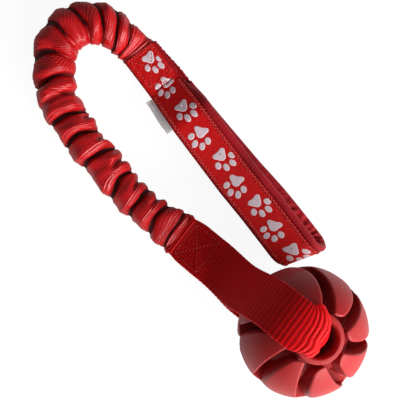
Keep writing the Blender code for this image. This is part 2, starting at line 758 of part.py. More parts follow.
def main():
    for obj in list(bpy.data.objects):
        bpy.data.objects.remove(obj)
    toy = collection("bungee_tug_toy")
    cutters = collection("cutters")
    finishes = {
        "webbing": material("webbing", (0.36, 0.006, 0.012), 0.6),
        "ribbon": material("ribbon", (0.52, 0.005, 0.007), 0.55),
        "lining": material("lining", (0.3, 0.006, 0.02), 0.7),
        "tag": material("tag", (0.62, 0.6, 0.58), 0.7),
        "thread": material("thread", (0.4, 0.006, 0.01), 0.5),
        "sleeve": material("sleeve", (0.5, 0.008, 0.016), 0.4),
        "core": material("core", (0.35, 0.3, 0.28), 0.8),
        "strap": material("strap", (0.42, 0.007, 0.014), 0.45),
        "ball": material("ball", (0.3, 0.012, 0.016), 0.65),
    }
    root = bpy.data.objects.new("toy_frame", None)
    toy.objects.link(root)
    handle_frame = bpy.data.objects.new("handle_frame", None)
    toy.objects.link(handle_frame)
    handle_frame.rotation_euler = (0, 0, HANDLE_HEADING)
    make_handle(finishes, handle_frame, toy)
    make_sleeve(finishes, toy, cutters)
    make_strap(finishes, toy)
    make_ball(finishes, toy, cutters)
    for obj in list(toy.objects) + list(cutters.objects):
        if obj is not root and obj.parent is None:
            obj.parent = root
    stand_on_floor(root, toy)


main()
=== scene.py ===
import math

import bpy
import numpy as np
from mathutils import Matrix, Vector


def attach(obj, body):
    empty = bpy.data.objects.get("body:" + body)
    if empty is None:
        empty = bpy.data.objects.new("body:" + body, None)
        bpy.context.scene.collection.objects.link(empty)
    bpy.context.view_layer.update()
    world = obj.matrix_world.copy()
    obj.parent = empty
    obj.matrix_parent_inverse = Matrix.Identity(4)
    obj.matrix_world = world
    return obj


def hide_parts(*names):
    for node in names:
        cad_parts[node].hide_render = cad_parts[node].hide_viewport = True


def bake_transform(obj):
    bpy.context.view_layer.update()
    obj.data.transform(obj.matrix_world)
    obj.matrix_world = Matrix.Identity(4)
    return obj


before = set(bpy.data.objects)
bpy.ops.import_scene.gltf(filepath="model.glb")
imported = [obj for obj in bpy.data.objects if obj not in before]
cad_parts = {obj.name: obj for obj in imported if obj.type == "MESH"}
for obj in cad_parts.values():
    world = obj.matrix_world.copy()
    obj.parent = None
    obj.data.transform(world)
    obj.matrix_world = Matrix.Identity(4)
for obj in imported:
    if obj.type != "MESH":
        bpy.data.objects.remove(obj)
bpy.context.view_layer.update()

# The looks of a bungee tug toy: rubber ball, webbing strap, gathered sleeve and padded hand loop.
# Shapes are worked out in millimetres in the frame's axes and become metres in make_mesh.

MM = 0.001
UP = np.array((0.0, 0.0, 1.0))

# Pitch of the ribbon's threads and of the strap's ribs, and the most that half a flat end's thickness comes to
RIBBON_THREAD = 0.42
STRAP_RIB = 2.25
FLAT_END_HALF = 1.48

# The photograph's camera: straight above, upward side +Y
CAMERA_PLACE = (0.00139, -0.00295, 0.560)
CAMERA_LENS = 88.5
CAMERA_SENSOR = 36

# The frame's places that the part was built from
SEAM = np.array((-32.407, 80.251, 0.0))
HANDLE_HEADING = math.radians(-52.7)
HANDLE_X = np.array((math.cos(HANDLE_HEADING), math.sin(HANDLE_HEADING), 0.0))
HANDLE_Y = np.array((-math.sin(HANDLE_HEADING), math.cos(HANDLE_HEADING), 0.0))


def smooth(x):
    x = np.clip(x, 0, 1)
    return x * x * (3 - 2 * x)


def bump_at(x, centre, width):
    return np.exp(-(((x - centre) / width) ** 2))


def ridge(phase):
    """Round ridges with sharp valleys, one for each whole step of phase, from 0 to 1."""
    return np.abs(np.sin(np.pi * phase)) ** 0.85


def unit(vectors):
    return vectors / np.maximum(np.linalg.norm(vectors, axis=-1, keepdims=True), 1e-12)


def spread(columns, share):
    """Places from -1 to 1 that crowd towards both ends by this share."""
    even = np.linspace(-1, 1, columns)
    return share * np.sin(even * np.pi / 2) + (1 - share) * even


def window(x, low, rise, high, fall):
    """0 up to low, 1 in the middle and 0 again from high on, with eased steps this long."""
    return smooth((x - low) / rise) * smooth((high - x) / fall)


def link(name, data):
    obj = bpy.data.objects.new(name, data)
    bpy.context.scene.collection.objects.link(obj)
    return obj


# Mesh building


def make_mesh(name, verts, quads, uv=None, finishes=(), slots=None):
    """A mesh object from millimetre points and quads, turned outward, with one UV pair per corner."""
    verts = np.asarray(verts, float)
    quads = np.asarray(quads, np.int64)
    a, b, c, d = (verts[quads[:, i]] for i in range(4))
    volume = np.einsum("ij,ij->", a, np.cross(b, c)) + np.einsum("ij,ij->", a, np.cross(c, d))
    if volume < 0:
        quads = quads[:, ::-1]
        uv = None if uv is None else uv[:, ::-1]
    mesh = bpy.data.meshes.new(name)
    mesh.vertices.add(len(verts))
    mesh.vertices.foreach_set("co", (verts * MM).astype(np.float32).ravel())
    mesh.loops.add(quads.size)
    mesh.loops.foreach_set("vertex_index", quads.astype(np.int32).ravel())
    mesh.polygons.add(len(quads))
    mesh.polygons.foreach_set("loop_start", np.arange(0, quads.size, 4, dtype=np.int32))
    if slots is not None:
        mesh.polygons.foreach_set("material_index", np.asarray(slots, np.int32))
    mesh.update(calc_edges=True)
    if uv is not None:
        layer = mesh.uv_layers.new(name="UVMap")
        layer.data.foreach_set("uv", np.ascontiguousarray(uv, np.float32).ravel())
    mesh.shade_smooth()
    for finish in finishes:
        mesh.materials.append(finish)
    return link(name, mesh)


def ring_quads(count, sides, loop_rings=False):
    """Quads between rings of points, each ring closed."""
    rows = np.arange(count if loop_rings else count - 1)[:, None]
    cols = np.arange(sides)[None, :]
    after, beside = (rows + 1) % count, (cols + 1) % sides
    return np.stack(
        [rows * sides + cols, rows * sides + beside, after * sides + beside, after * sides + cols], -1
    ).reshape(-1, 4)


def ring_uv(along, around):
    """One UV pair per quad corner: along has a value or a row per ring, around a value per side and one more."""
    along = np.asarray(along, float)
    u = np.broadcast_to(along[:, None] if along.ndim == 1 else along, (len(along), len(around)))
    both = np.stack([u, np.broadcast_to(np.asarray(around)[None, :], u.shape)], -1)
    rows, cols = u.shape[0] - 1, u.shape[1] - 1
    corners = [both[i : i + rows, j : j + cols] for i, j in ((0, 0), (0, 1), (1, 1), (1, 0))]
    return np.stack(corners, -2).reshape(-1, 4, 2)


def cap_quads(first, sides):
    """Quads that close a flattened ring, whose point i faces point sides - 1 - i."""
    i = np.arange(sides // 2 - 1)
    return np.stack([first + i, first + i + 1, first + sides - 2 - i, first + sides - 1 - i], -1)


def repeated(quads, count, size):
    """The quads of one shape, for count shapes of size points each."""
    return (quads[None] + (np.arange(count) * size)[:, None, None]).reshape(-1, 4)


def swept(name, rings, along, around, finish, cap_u=None):
    """A closed solid through rings that are flattened, so that their ends close in quads."""
    count, sides, _ = rings.shape
    ends = np.concatenate([cap_quads(0, sides)[:, ::-1], cap_quads((count - 1) * sides, sides)])
    flat = np.stack([np.full(ends.shape, along[0] if cap_u is None else cap_u, float), ends % sides * 0.3], -1)
    quads = np.concatenate([ring_quads(count, sides), ends])
    return make_mesh(name, rings.reshape(-1, 3), quads, np.concatenate([ring_uv(along, around), flat]), [finish])


def flat_cloth(name, outer, inner, along, side, gap, finish):
    """A closed cloth between two faces. Across it, UV is side on the outer face and side + gap on the inner one."""
    around = np.concatenate([side, side[::-1] + gap, [side[0] + gap + 1]])
    return swept(name, np.concatenate([outer, inner[:, ::-1]], 1), along, around, finish)


def flat_end(name, place, along, wave, width, thickness, scale, finish):
    """A flat sewn end of the sleeve, puckered by wave(along, q). Width and thickness are (plain, added by the wave)."""
    start, run, side, up = place
    along = along[:, None]
    q = spread(26, 1)[None, :]
    waves = wave(along, q)
    half = (thickness[0] + thickness[1] * waves) * np.sqrt(np.clip(1 - np.abs(q) ** 6, 0.03, 1))
    half = np.minimum(half, FLAT_END_HALF)[..., None]
    middle = start + run * along[..., None] + side * (q * (width[0] + width[1] * waves))[..., None]
    rings = np.concatenate([middle + up * half, (middle - up * half)[:, ::-1]], 1)
    around = np.concatenate([q[0] * scale, q[0, ::-1] * scale + 30, [q[0, 0] + 31]])
    return swept(name, rings, along[:, 0], around, finish)


def stitch_ends(path, pitch, gap, wide=1.0):
    """(run, side) of both ends of each stitch along a path. wide is the length of a step of one to the side."""
    for (r0, s0), (r1, s1) in zip(path, path[1:]):
        count = max(1, round(math.hypot(r1 - r0, (s1 - s0) * wide) / pitch))
        for i in range(count):
            share = np.array((i + gap / 2, i + 1 - gap / 2)) / count
            yield r0 + (r1 - r0) * share, s0 + (s1 - s0) * share


def thread_mesh(name, stitches, radius, finish, rise, sides=6, steps=5):
    """Stitches as short round threads that dive into the cloth at both ends. Each is (start, end, normal)."""
    start, end, normal = (np.array([s[i] for s in stitches], float) for i in range(3))
    t = np.linspace(0, 1, steps)[None, :, None]
    run = unit(end - start)[:, None, :]
    up = unit(normal)[:, None, :]
    side = np.cross(run, up)
    arch = np.sin(np.pi * t) ** 0.5
    centre = start[:, None] * (1 - t) + end[:, None] * t + up * (radius * (2 * rise * arch - 0.9))
    angle = (2 * np.pi * np.arange(sides) / sides)[None, None, :, None]
    ring = side[:, :, None] * np.cos(angle) + up[:, :, None] * np.sin(angle)
    points = centre[:, :, None] + ring * (radius * (0.55 + 0.45 * arch))[..., None]
    size = steps * sides
    one = np.concatenate([ring_quads(steps, sides), cap_quads(0, sides)[:, ::-1], cap_quads(size - sides, sides)])
    every = repeated(one, len(stitches), size)
    uv = np.stack([every // sides % steps * 0.4, every % sides * 0.3], -1).astype(float)
    return make_mesh(name, points.reshape(-1, 3), every, uv, [finish])


def tell(obj, body, slot, *nodes):
    """Rides a piece on its body and hides the nodes that it stands for. The slot is not used."""
    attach(obj, body)
    if nodes:
        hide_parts(*nodes)


# Materials


class Finish:
    """A Principled material that is built from small node steps."""

    def __init__(self, name, roughness, specular):
        self.material = bpy.data.materials.new(name)
        self.material.use_nodes = True
        self.tree = self.material.node_tree
        self.shader = self.tree.nodes["Principled BSDF"]
        self.shader.inputs["Roughness"].default_value = roughness
        self.shader.inputs["Specular IOR Level"].default_value = specular

    def set(self, socket, value):
        if isinstance(value, bpy.types.NodeSocket):
            self.tree.links.new(value, socket)
        else:
            socket.default_value = value

    def node(self, kind, *values, **settings):
        """A node with these settings, and values or sockets in its first inputs."""
        made = self.tree.nodes.new(kind)
        for key, value in settings.items():
            setattr(made, key, value)
        for socket, value in zip(made.inputs, values):
            self.set(socket, value)
        return made

    def math(self, operation, *values):
        return self.node("ShaderNodeMath", *values, operation=operation).outputs[0]

    def uv(self):
        split = self.node("ShaderNodeSeparateXYZ", self.node("ShaderNodeUVMap", uv_map="UVMap").outputs[0])
        return split.outputs[0], split.outputs[1]

    def wave(self, coordinate, pitch):
        """From 0 in the valleys to 1 on the ridges of round threads this far apart."""
        turns = self.math("MULTIPLY_ADD", coordinate, math.pi / pitch, 0.0)
        return self.math("ABSOLUTE", self.math("SINE", turns))

    def weigh(self, first, share, second):
        return self.math("MULTIPLY_ADD", first, share, self.math("MULTIPLY", second, 1 - share))

    def noise(self, scale, detail=3.0, roughness=0.55):
        made = self.node("ShaderNodeTexNoise", self.node("ShaderNodeTexCoord").outputs["Object"])
        for name, value in (("Scale", scale), ("Detail", detail), ("Roughness", roughness)):
            self.set(made.inputs[name], value)
        return made.outputs[0]

    def ramp(self, value, low, high, out_low=0.0, out_high=1.0):
        return self.node("ShaderNodeMapRange", value, low, high, out_low, out_high).outputs[0]

    def mix(self, factor, first, second):
        made = self.node("ShaderNodeMix", data_type="RGBA")
        self.set(made.inputs["Factor"], factor)
        for socket, color in zip([s for s in made.inputs if s.type == "RGBA"], (first, second)):
            self.set(socket, (*color, 1) if isinstance(color, tuple) else color)
        return next(s for s in made.outputs if s.type == "RGBA")

    def tint(self, base, value, low, high, color, start=0.0, stop=1.0):
        """base, mixed with color by start where value is low and by stop where it is high."""
        return self.mix(self.ramp(value, low, high, start, stop), base, color)

    def sheen(self, weight, tint=(1, 1, 1, 1)):
        for name, value in (("Weight", weight), ("Roughness", 0.45), ("Tint", tint)):
            self.shader.inputs["Sheen " + name].default_value = value

    def done(self, color, rough, height, depth):
        """The finished material, with a bump that is depth mm deep."""
        bump = self.node("ShaderNodeBump")
        for name, value in (("Height", height), ("Distance", depth * MM), ("Strength", 1.0)):
            self.set(bump.inputs[name], value)
        for name, value in (("Base Color", color), ("Roughness", rough), ("Normal", bump.outputs[0])):
            self.set(self.shader.inputs[name], value)
        return self.material


def shade(color, factor):
    return tuple(min(c * factor, 1.0) for c in color)


def woven(name, color, roughness, rib, thread, depth, dark=0.45, light=1.25, specular=0.5, painted_crease_shade=0.0):
    """Nylon weave: ribs across the piece every rib mm, made of threads every thread mm that step from rib to rib.
    The last argument is how much painted shade darkens the colour in the creases and dents that the mesh's attribute
    marks, where shade falls."""
    look = Finish(name, roughness, specular)
    u, v = look.uv()
    step = look.math("FLOOR", look.math("DIVIDE", u, rib))
    threads = look.wave(look.math("MULTIPLY_ADD", step, thread / 2, v), thread)
    height = look.weigh(threads, 0.45, look.wave(u, rib))
    wear = look.noise(160.0, 4.0)
    base = look.tint(shade(color, dark), height, 0.15, 0.8, color)
    base = look.tint(base, wear, 0.56, 0.78, shade(color, light), 0.0, 0.55)
    base = look.tint(base, look.noise(28.0, 2.0), 0.35, 0.65, shade(color, 0.7), 0.25, 0.0)
    dull = look.ramp(wear, 0.3, 0.7, roughness - 0.06, roughness + 0.1)
    if painted_crease_shade:
        # Painted shade: the colour darkens in the creases and dents, where shade falls; the roughness rises there too.
        crease_shade_mask = look.node("ShaderNodeAttribute", attribute_name="crease").outputs["Fac"]
        base = look.tint(base, crease_shade_mask, 0.62, 0.92, shade(color, 0.08), 0.0, painted_crease_shade)
        dull = look.math("ADD", dull, look.ramp(crease_shade_mask, 0.5, 0.9, 0.0, 0.45))
    return look.done(base, dull, height, depth)


def lining_finish(color):
    """Soft padded cloth with a fine nap."""
    look = Finish("lining_cloth", 0.62, 0.2)
    u, v = look.uv()
    knit = look.math("MULTIPLY", look.wave(u, 0.55), look.wave(v, 0.7))
    nap = look.noise(900.0)
    base = look.tint(shade(color, 0.7), look.noise(45.0), 0.35, 0.7, shade(color, 1.15))
    base = look.tint(base, knit, 0.0, 0.5, shade(color, 0.5), 0.35, 0.0)
    look.sheen(0.08)
    height = look.math("MULTIPLY_ADD", nap, 0.6, knit)
    return look.done(base, look.ramp(nap, 0.3, 0.7, 0.52, 0.72), height, 0.07)


def ribbon_finish(color):
    """Flat ribbon with fine cross threads."""
    look = Finish("ribbon_cloth", 0.5, 0.15)
    u, v = look.uv()
    height = look.weigh(look.wave(v, 0.3), 0.3, look.wave(u, RIBBON_THREAD))
    wear = look.noise(260.0, 4.0)
    base = look.tint(shade(color, 0.8), height, 0.1, 0.7, color)
    base = look.tint(base, look.noise(35.0), 0.35, 0.68, shade(color, 0.8), 0.3, 0.0)
    base = look.tint(base, wear, 0.6, 0.8, shade(color, 1.3), 0.0, 0.4)
    return look.done(base, look.ramp(wear, 0.3, 0.7, 0.42, 0.6), height, 0.06)


def print_finish(name, color):
    """Reflective print that lets the ribbon's threads through."""
    look = Finish(name, 0.45, 0.25)
    threads = look.wave(look.uv()[0], RIBBON_THREAD)
    flecks = look.noise(700.0)
    base = look.tint(color, threads, 0.0, 0.6, shade(color, 0.72), 0.35, 0.0)
    base = look.tint(base, flecks, 0.62, 0.75, (color[0] * 0.9, color[1] * 0.55, color[2] * 0.6), 0.0, 0.5)
    height = look.math("MULTIPLY_ADD", flecks, 0.3, threads)
    return look.done(base, look.ramp(flecks, 0.3, 0.7, 0.36, 0.52), height, 0.04)


def tag_finish(color):
    """Woven satin label."""
    look = Finish("label_cloth", 0.48, 0.3)
    u, v = look.uv()
    height = look.weigh(look.wave(u, 0.3), 0.6, look.wave(look.math("MULTIPLY_ADD", u, 0.35, v), 0.5))
    large = look.noise(120.0)
    base = look.tint(shade(color, 0.8), height, 0.1, 0.7, color)
    base = look.tint(base, large, 0.4, 0.7, shade(color, 0.78), 0.0, 0.35)
    return look.done(base, look.ramp(large, 0.3, 0.7, 0.4, 0.58), height, 0.05)


def thread_finish(color):
    """Twisted sewing thread."""
    look = Finish("sewing_thread", 0.42, 0.5)
    twist = look.wave(look.math("ADD", *look.uv()), 0.28)
    tone = look.noise(300.0, 2.0)
    base = look.mix(twist, shade(color, 0.6), color)
    base = look.tint(base, tone, 0.4, 0.7, shade(color, 1.3), 0.0, 0.4)
    return look.done(base, look.ramp(tone, 0.3, 0.7, 0.36, 0.5), twist, 0.06)


def rubber_finish(color, bloom_color, wear_and_highlight_color):
    """Matt moulded rubber with a dusty bloom, fine moulding grain, and convex edges made paler, partly as wear and
    partly as a painted highlight.
    """
    look = Finish("ball_rubber_finish", 0.5, 0.4)
    bloom = look.noise(70.0, 5.0, 0.65)
    base = look.tint(shade(color, 0.88), look.noise(22.0, 2.0), 0.35, 0.65, shade(color, 1.1))
    base = look.tint(base, bloom, 0.5, 0.72, bloom_color, 0.0, 0.3)
    # Painted highlight and wear: convex edges are made paler in colour and glossier.
    wear_and_highlight = look.math("SUBTRACT", look.node("ShaderNodeNewGeometry").outputs["Pointiness"], 0.5)
    edge = look.ramp(wear_and_highlight, 0.03, 0.1)
    base = look.mix(look.math("MULTIPLY", edge, 0.45), base, wear_and_highlight_color)
    look.sheen(0.04, (1.0, 0.82, 0.82, 1))
    dull = look.math("MULTIPLY_ADD", edge, -0.16, look.ramp(bloom, 0.35, 0.7, 0.44, 0.58))
    return look.done(base, dull, look.noise(1400.0), 0.02)


def braid_finish(color):
    """Braided cover of the elastic."""
    look = Finish("elastic_braid", 0.75, 0.3)
    u, v = look.uv()
    height = look.math("MAXIMUM", *(look.wave(look.math(way, u, v), 1.2) for way in ("ADD", "SUBTRACT")))
    tone = look.noise(200.0)
    base = look.tint(shade(color, 0.45), height, 0.3, 0.95, color)
    base = look.tint(base, tone, 0.45, 0.7, shade(color, 1.2), 0.0, 0.4)
    return look.done(base, look.ramp(tone, 0.3, 0.7, 0.68, 0.85), height, 0.2)


# Hand loop

TACK_LENGTH = 24.0
LINING_START = 34.0
LOWER_LEG_HEIGHT = 1.9
TACK_HEIGHT = 7.1
FOLD_RADIUS = 7.05
UPPER_LEG_HEIGHT = LOWER_LEG_HEIGHT + 2 * FOLD_RADIUS
FOLD_START = 138.3
LOWER_LEG_SHIFT = 5.2
LEG_POINTS, TURN_POINTS = 1400, 240
# How far the whole loop bows sideways, by the place along it
BOW = ((0, 20, 30, 50, 90, 110, 130, 146), (0.9, 0.9, 0.7, 0.2, 0.0, 0.7, 0.8, 0.8))
CLOTH_STEP = 0.3
DIP_LIMIT = -0.75
RIBBON_LEVEL = 1.5
RIBBON_TOP = RIBBON_LEVEL + 0.4
LINING_LEVEL = -2.2
WEB_SIDES = (-12.4, 10.45)
RIBBON_SIDES = (-11.5, 8.5)
STITCH_SIDES = (-10.4, 7.5)
TACK_SIDES, TACK_ENDS = (-9.2, 7.2), (1.6, 19.6)
STITCH_RADIUS = 0.24
ZIGZAG_PITCH = 1.05
PAD_START = 30.0


def upper_leg_height(along):
    """The upper leg rises evenly from the tack, with its ends eased."""
    t, ease = np.clip((along - 22.0) / 28.0, 0, 1), 0.2
    near = np.minimum(t, 1 - t)
    part = np.where(near < ease, near**2 / (2 * ease * (1 - ease)), (near - ease / 2) / (1 - ease))
    return TACK_HEIGHT + (UPPER_LEG_HEIGHT - TACK_HEIGHT) * np.where(t < 0.5, part, 1 - part)


class Loop:
    """The webbing's middle line, by the distance run from its upper end, round the fold, to its lower end."""

    def __init__(self):
        upper = np.linspace(0, FOLD_START, LEG_POINTS)
        turn = np.linspace(0, np.pi, TURN_POINTS)[1:-1]
        lower = np.linspace(FOLD_START, 0, LEG_POINTS)
        rest = smooth((lower - 8) / (FOLD_START - 8))
        beside = (0.8 + 1.5 * smooth(lower / 24)) * (1 - smooth((lower - 26) / 20))
        turned = LOWER_LEG_HEIGHT + FOLD_RADIUS * (1 + np.cos(turn))
        self.along = np.concatenate([upper, FOLD_START + FOLD_RADIUS * np.sin(turn), lower])
        self.level = np.concatenate([upper_leg_height(upper), turned, np.full(LEG_POINTS, LOWER_LEG_HEIGHT)])
        self.shift = LOWER_LEG_SHIFT * np.concatenate([upper * 0, smooth(turn / np.pi), rest])
        self.shift[-LEG_POINTS:] += beside
        self.run = np.concatenate([[0], np.cumsum(np.hypot(np.diff(self.along), np.diff(self.level)))])
        self.length = self.run[-1]
        self.turn_run = self.run[[LEG_POINTS - 1, LEG_POINTS + TURN_POINTS - 2]]

    def at(self, run, step=0.4):
        """along, level, shift and the outward direction (along, level) at distances run."""
        along, level, shift = (np.interp(run, self.run, line) for line in (self.along, self.level, self.shift))
        lines = (self.along, self.level)
        da, dl = (np.interp(run + step, self.run, line) - np.interp(run - step, self.run, line) for line in lines)
        size = np.maximum(np.hypot(da, dl), 1e-9)
        return along, level, shift, -dl / size, da / size

    def points(self, run, side, outward):
        """Frame points at distances run, this far to the side and outward of the webbing's middle."""
        along, level, shift, out_a, out_l = self.at(run)
        narrow = 0.93 + 0.07 * smooth((along - TACK_LENGTH) / (LINING_START - TACK_LENGTH) / 2)
        sideways = shift + side * narrow + np.interp(along, *BOW)
        x = along + out_a * outward + 0.3 * smooth((along - FOLD_START) / 30 + 1) * sideways
        z = level + out_l * outward
        return SEAM + x[..., None] * HANDLE_X + sideways[..., None] * HANDLE_Y + z[..., None] * UP


loop = Loop()


def flat_section(low, high, half, columns, edge):
    """Places across a flat cloth from its low side to its high one, and half the thickness of its rounded section."""
    side = (low + high) / 2 + spread(columns, 0.55) * (high - low) / 2
    distance = np.minimum(side - low, high - side)
    return side, half * np.sqrt(np.clip(1 - (1 - np.clip(distance / edge, 0, 1)) ** 2, 0.06, 1))


def loop_cloth(name, level, sides, half, stop, columns, edge, finish, relief, jag):
    """One flat layer of the loop, with ribs by relief(run, side). Its high side is moved by jag(run)."""
    low, high = sides
    run = np.linspace(0.0, stop, int(stop / CLOTH_STEP))
    side, thick = flat_section(low, high, half, columns, edge)
    rr = run[:, None]
    raised = np.maximum(relief(rr, side[None, :]), DIP_LIMIT)
    beside = np.abs(side - (low + high) / 2) / (high - low) * 2
    moved = side + jag(rr) * (side > 0) * smooth((beside - 0.9) / 0.1)
    thick = thick * window(rr, -0.6 * half, 2 * half, stop + 0.6 * half, 2 * half)
    soft = np.clip(thick / half, 0, 1)
    outer = loop.points(rr, moved, level + thick + raised * soft)
    inner = loop.points(rr, moved, level - thick - np.maximum(raised, 0) * soft)
    return flat_cloth(name, outer, inner, run, side, 60, finish)


def pad_section(columns):
    """(side, outward) points of the lining: a flat pad that wraps round the webbing's right edge."""
    corners = (
        (-11.6, -1.15), (-6, -1.1), (0, -1.1), (5, -1.1), (7.6, -1.0), (8.3, 0.2), (8.9, 1.35), (10.1, 1.75),
        (11.5, 1.5), (12.7, 0.7), (13.1, -0.6), (12.9, -2.0), (12.0, -3.0), (10.0, -3.3), (5, -3.35), (0, -3.35),
        (-6, -3.35), (-10.8, -3.3), (-11.9, -2.7), (-12.1, -1.9),
    )
    closed = np.array((*corners, corners[0]))
    for _ in range(3):
        ahead = np.roll(closed[:-1], -1, 0)
        first, second = closed[:-1] * 0.75 + ahead * 0.25, closed[:-1] * 0.25 + ahead * 0.75
        ring = np.stack([first, second], 1).reshape(-1, 2)
        closed = np.concatenate([ring, ring[:1]])
    length = np.concatenate([[0], np.cumsum(np.linalg.norm(np.diff(closed, axis=0), axis=1))])
    even = np.linspace(0, length[-1], columns + 1)
    return np.stack([np.interp(even, length, closed[:, i]) for i in (0, 1)], 1), even


def make_lining(finish):
    """The padded lining, puckered along its edge and crumpled inside the fold."""
    section, around = pad_section(96)
    start, stop = PAD_START, loop.length - PAD_START
    run = np.linspace(start, stop, int((stop - start) / 0.5))[:, None]
    side, outward = section[:-1, 0][None, :], section[:-1, 1][None, :]
    turned = np.arctan2(outward - LINING_LEVEL, (side - 0.5) / 4)
    fold_a, fold_b = loop.turn_run
    puff = 0.16 * np.sin(run * 2 * np.pi / 7.3 + side * 0.2) + 0.1 * np.sin(run * 2 * np.pi / 3.1 + side * 0.5 + turned)
    near_fold = window(run, fold_a - 26, 12, fold_b + 34, 12)
    after_fold = window(run, fold_b - 10, 8, fold_b + 25, 9)
    crumple = np.sin(run * 1.03 + 0.5 * side + 1.2 * np.sin(run * 0.31))
    crumple = crumple + 0.6 * np.sin(run * 1.7 - 0.35 * side + 2 * np.sin(run * 0.23))
    crumple = 0.75 * crumple * after_fold * smooth((side + 1) / 8)
    inner_face = smooth((-outward - 1.2) / 1.4)
    swell = puff * (0.6 + 0.6 * near_fold) - (crumple + 0.6 * after_fold) * inner_face
    taper = window(run, start - 0.625, 2.5, stop + 0.625, 2.5)
    level = LINING_LEVEL + (outward - LINING_LEVEL) * taper - swell * inner_face * 0.8
    opened = window(run, start, 14, stop, 14)
    reach = side - 2.0 * (1 - opened) * smooth((side - 6) / 6)
    reach = reach + 0.12 * np.sin(run * 2 * np.pi / 2.2) * smooth((side - 7.5) / 1.5) * smooth((outward + 0.2) / 0.8)
    return swept("lining_pad", loop.points(run, reach, level), run[:, 0], around, finish, cap_u=0.0)


def ribbon_dip(run, side):
    """The deep line of stitches across the tack, and a shallow quilting along the zigzag rows."""
    across = window(side, -8.0, 1.5, 5.5, 1.5)
    dip = -0.85 * bump_at(run, 22.9 - 0.03 * side, 0.5) * across
    rows = bump_at(side, STITCH_SIDES[0], 1.1) + bump_at(side, STITCH_SIDES[1], 1.1)
    box = window(run, 0.6, 0.8, 20.4, 0.8)
    quilt = bump_at(side, TACK_SIDES[0], 0.7) + bump_at(side, TACK_SIDES[1], 0.7)
    quilt = box * (quilt + bump_at(run, TACK_ENDS[0], 0.6) + bump_at(run, TACK_ENDS[1], 0.6))
    ripple = 0.02 * np.sin(run * 2 * np.pi / 9.1 + side * 0.25) + 0.012 * np.sin(run * 2 * np.pi / 3.7 + side * 0.6)
    ripple = ripple + 0.05 * box * np.sin(run * 1.1 + side * 0.9)
    rows = 0.14 * rows * (0.7 + 0.3 * np.sin(np.pi * run))
    return np.maximum(dip - rows - 0.1 * quilt + ripple + 0.02 * ridge(run / 0.84), DIP_LIMIT)


# The main pads' places along the upper leg and to its side, and their pitch from there on
PRINT_PLACES = (
    (6.2, 1.5), (23.2, 1.0), (40.2, -0.2), (57.2, -0.4), (74.0, 0.5), (90.4, -1.0), (106.2, 0), (122.7, -0.3),
    (139.0, -0.3),
)
PRINT_PITCH = 16.6
# The paws point two ways in turn
PRINT_HEADINGS = (5.7, -48.3)
# Each toe's direction and distance from the main pad, and its half width and half length
TOES = ((50, 6.2, 1.65, 2.1), (17, 7.8, 1.6, 2.2), (-16, 7.2, 1.6, 2.2), (-55, 5.8, 1.65, 2.05))
PRINT_LIMIT = 6.3


def pad_radius(angle):
    """Main pad: a broad round tip towards the toes, and two rear lobes with a hollow between them."""
    lobes = 1.9 * (bump_at(angle, 2.1, 0.5) + bump_at(angle, -2.1, 0.5))
    return 2.65 + 0.55 * bump_at(angle, 0, 0.75) + lobes - 0.15 * bump_at(np.abs(angle), np.pi, 0.4)


def print_radius(centre, radius, angle):
    """The radius of a blob of print at each angle, cut off where the ribbon's print ends."""
    over = np.where(np.sin(angle) > 0.05, (PRINT_LIMIT - centre[1]) / np.maximum(np.sin(angle), 0.05), 1e9)
    return np.minimum(radius, np.maximum(over, 0.2))


def make_prints(finishes):
    """Paw prints as thin layers on the ribbon, with a pale rim round a grey middle."""
    sides = 36
    angle = np.linspace(-np.pi, np.pi, sides, endpoint=False)
    leg = len(loop.run) // 2 - 60
    places = [(float(np.interp(along, loop.along[:leg], loop.run[:leg])), side) for along, side in PRINT_PLACES]
    while places[-1][0] < loop.length - 22:
        places.append((places[-1][0] + PRINT_PITCH, -0.2))
    blobs = []
    for number, (run, side) in enumerate(places):
        centre = np.array((run, side - 0.3))
        heading = math.radians(PRINT_HEADINGS[number % 2])
        blobs.append((centre, pad_radius((angle - heading + np.pi) % (2 * np.pi) - np.pi)))
        for turn, distance, short, long in TOES:
            toe_angle = heading + math.radians(turn)
            place = centre + distance * np.array((math.cos(toe_angle), math.sin(toe_angle)))
            place[1] = min(place[1], PRINT_LIMIT - 0.4)
            lean = angle - heading - math.radians(turn * 0.55)
            blobs.append((place, short * long / np.hypot(short * np.cos(lean), long * np.sin(lean))))
    verts, flat = [], []
    for place, radius in blobs:
        radius = print_radius(place, radius, angle)
        grey = radius * (1 - 0.32 / np.maximum(radius, 0.6))
        reaches = (radius * 0.001, radius * 0.45, grey, grey + 0.06, radius, radius)
        for reach, lift in zip(reaches, (0.075, 0.075, 0.075, 0.07, 0.05, -0.2)):
            along, side = place[0] + reach * np.cos(angle), place[1] + reach * np.sin(angle)
            verts.append(loop.points(along, side, RIBBON_TOP + ribbon_dip(along, side) + lift))
            flat.append(np.stack([along, side], -1))
    size = sides * 6
    walls = repeated(ring_quads(6, sides), len(blobs), size)
    lids = np.concatenate([cap_quads(0, sides)[:, ::-1], cap_quads(size - sides, sides)])
    quads = np.concatenate([walls, repeated(lids, len(blobs), size)])
    slots = np.zeros(len(quads), int)
    slots[: len(walls)] = np.tile(np.repeat([0, 0, 1, 1, 1], sides), len(blobs))
    return make_mesh("paw_prints", np.concatenate(verts), quads, np.concatenate(flat)[quads], finishes, slots)


def stitch_row(corners, pitch, gap):
    """Straight stitches along a path of (run, side) corners, on the ribbon."""
    stitches = []
    for run, side in stitch_ends(corners, pitch, gap):
        low, high = (loop.points(run, side, RIBBON_TOP + rise + ribbon_dip(run, side)) for rise in (0, 1))
        stitches.append((low[0], low[1], (high - low).mean(0)))
    return stitches


def zigzag(side, start, stop):
    """A row of zigzag stitches along the ribbon."""
    count = int((stop - start) / ZIGZAG_PITCH) + 1
    corners = [(start + i * ZIGZAG_PITCH, side + (1.1 if i % 2 else -1.1)) for i in range(count)]
    return stitch_row(corners, 9.0, 0.06)


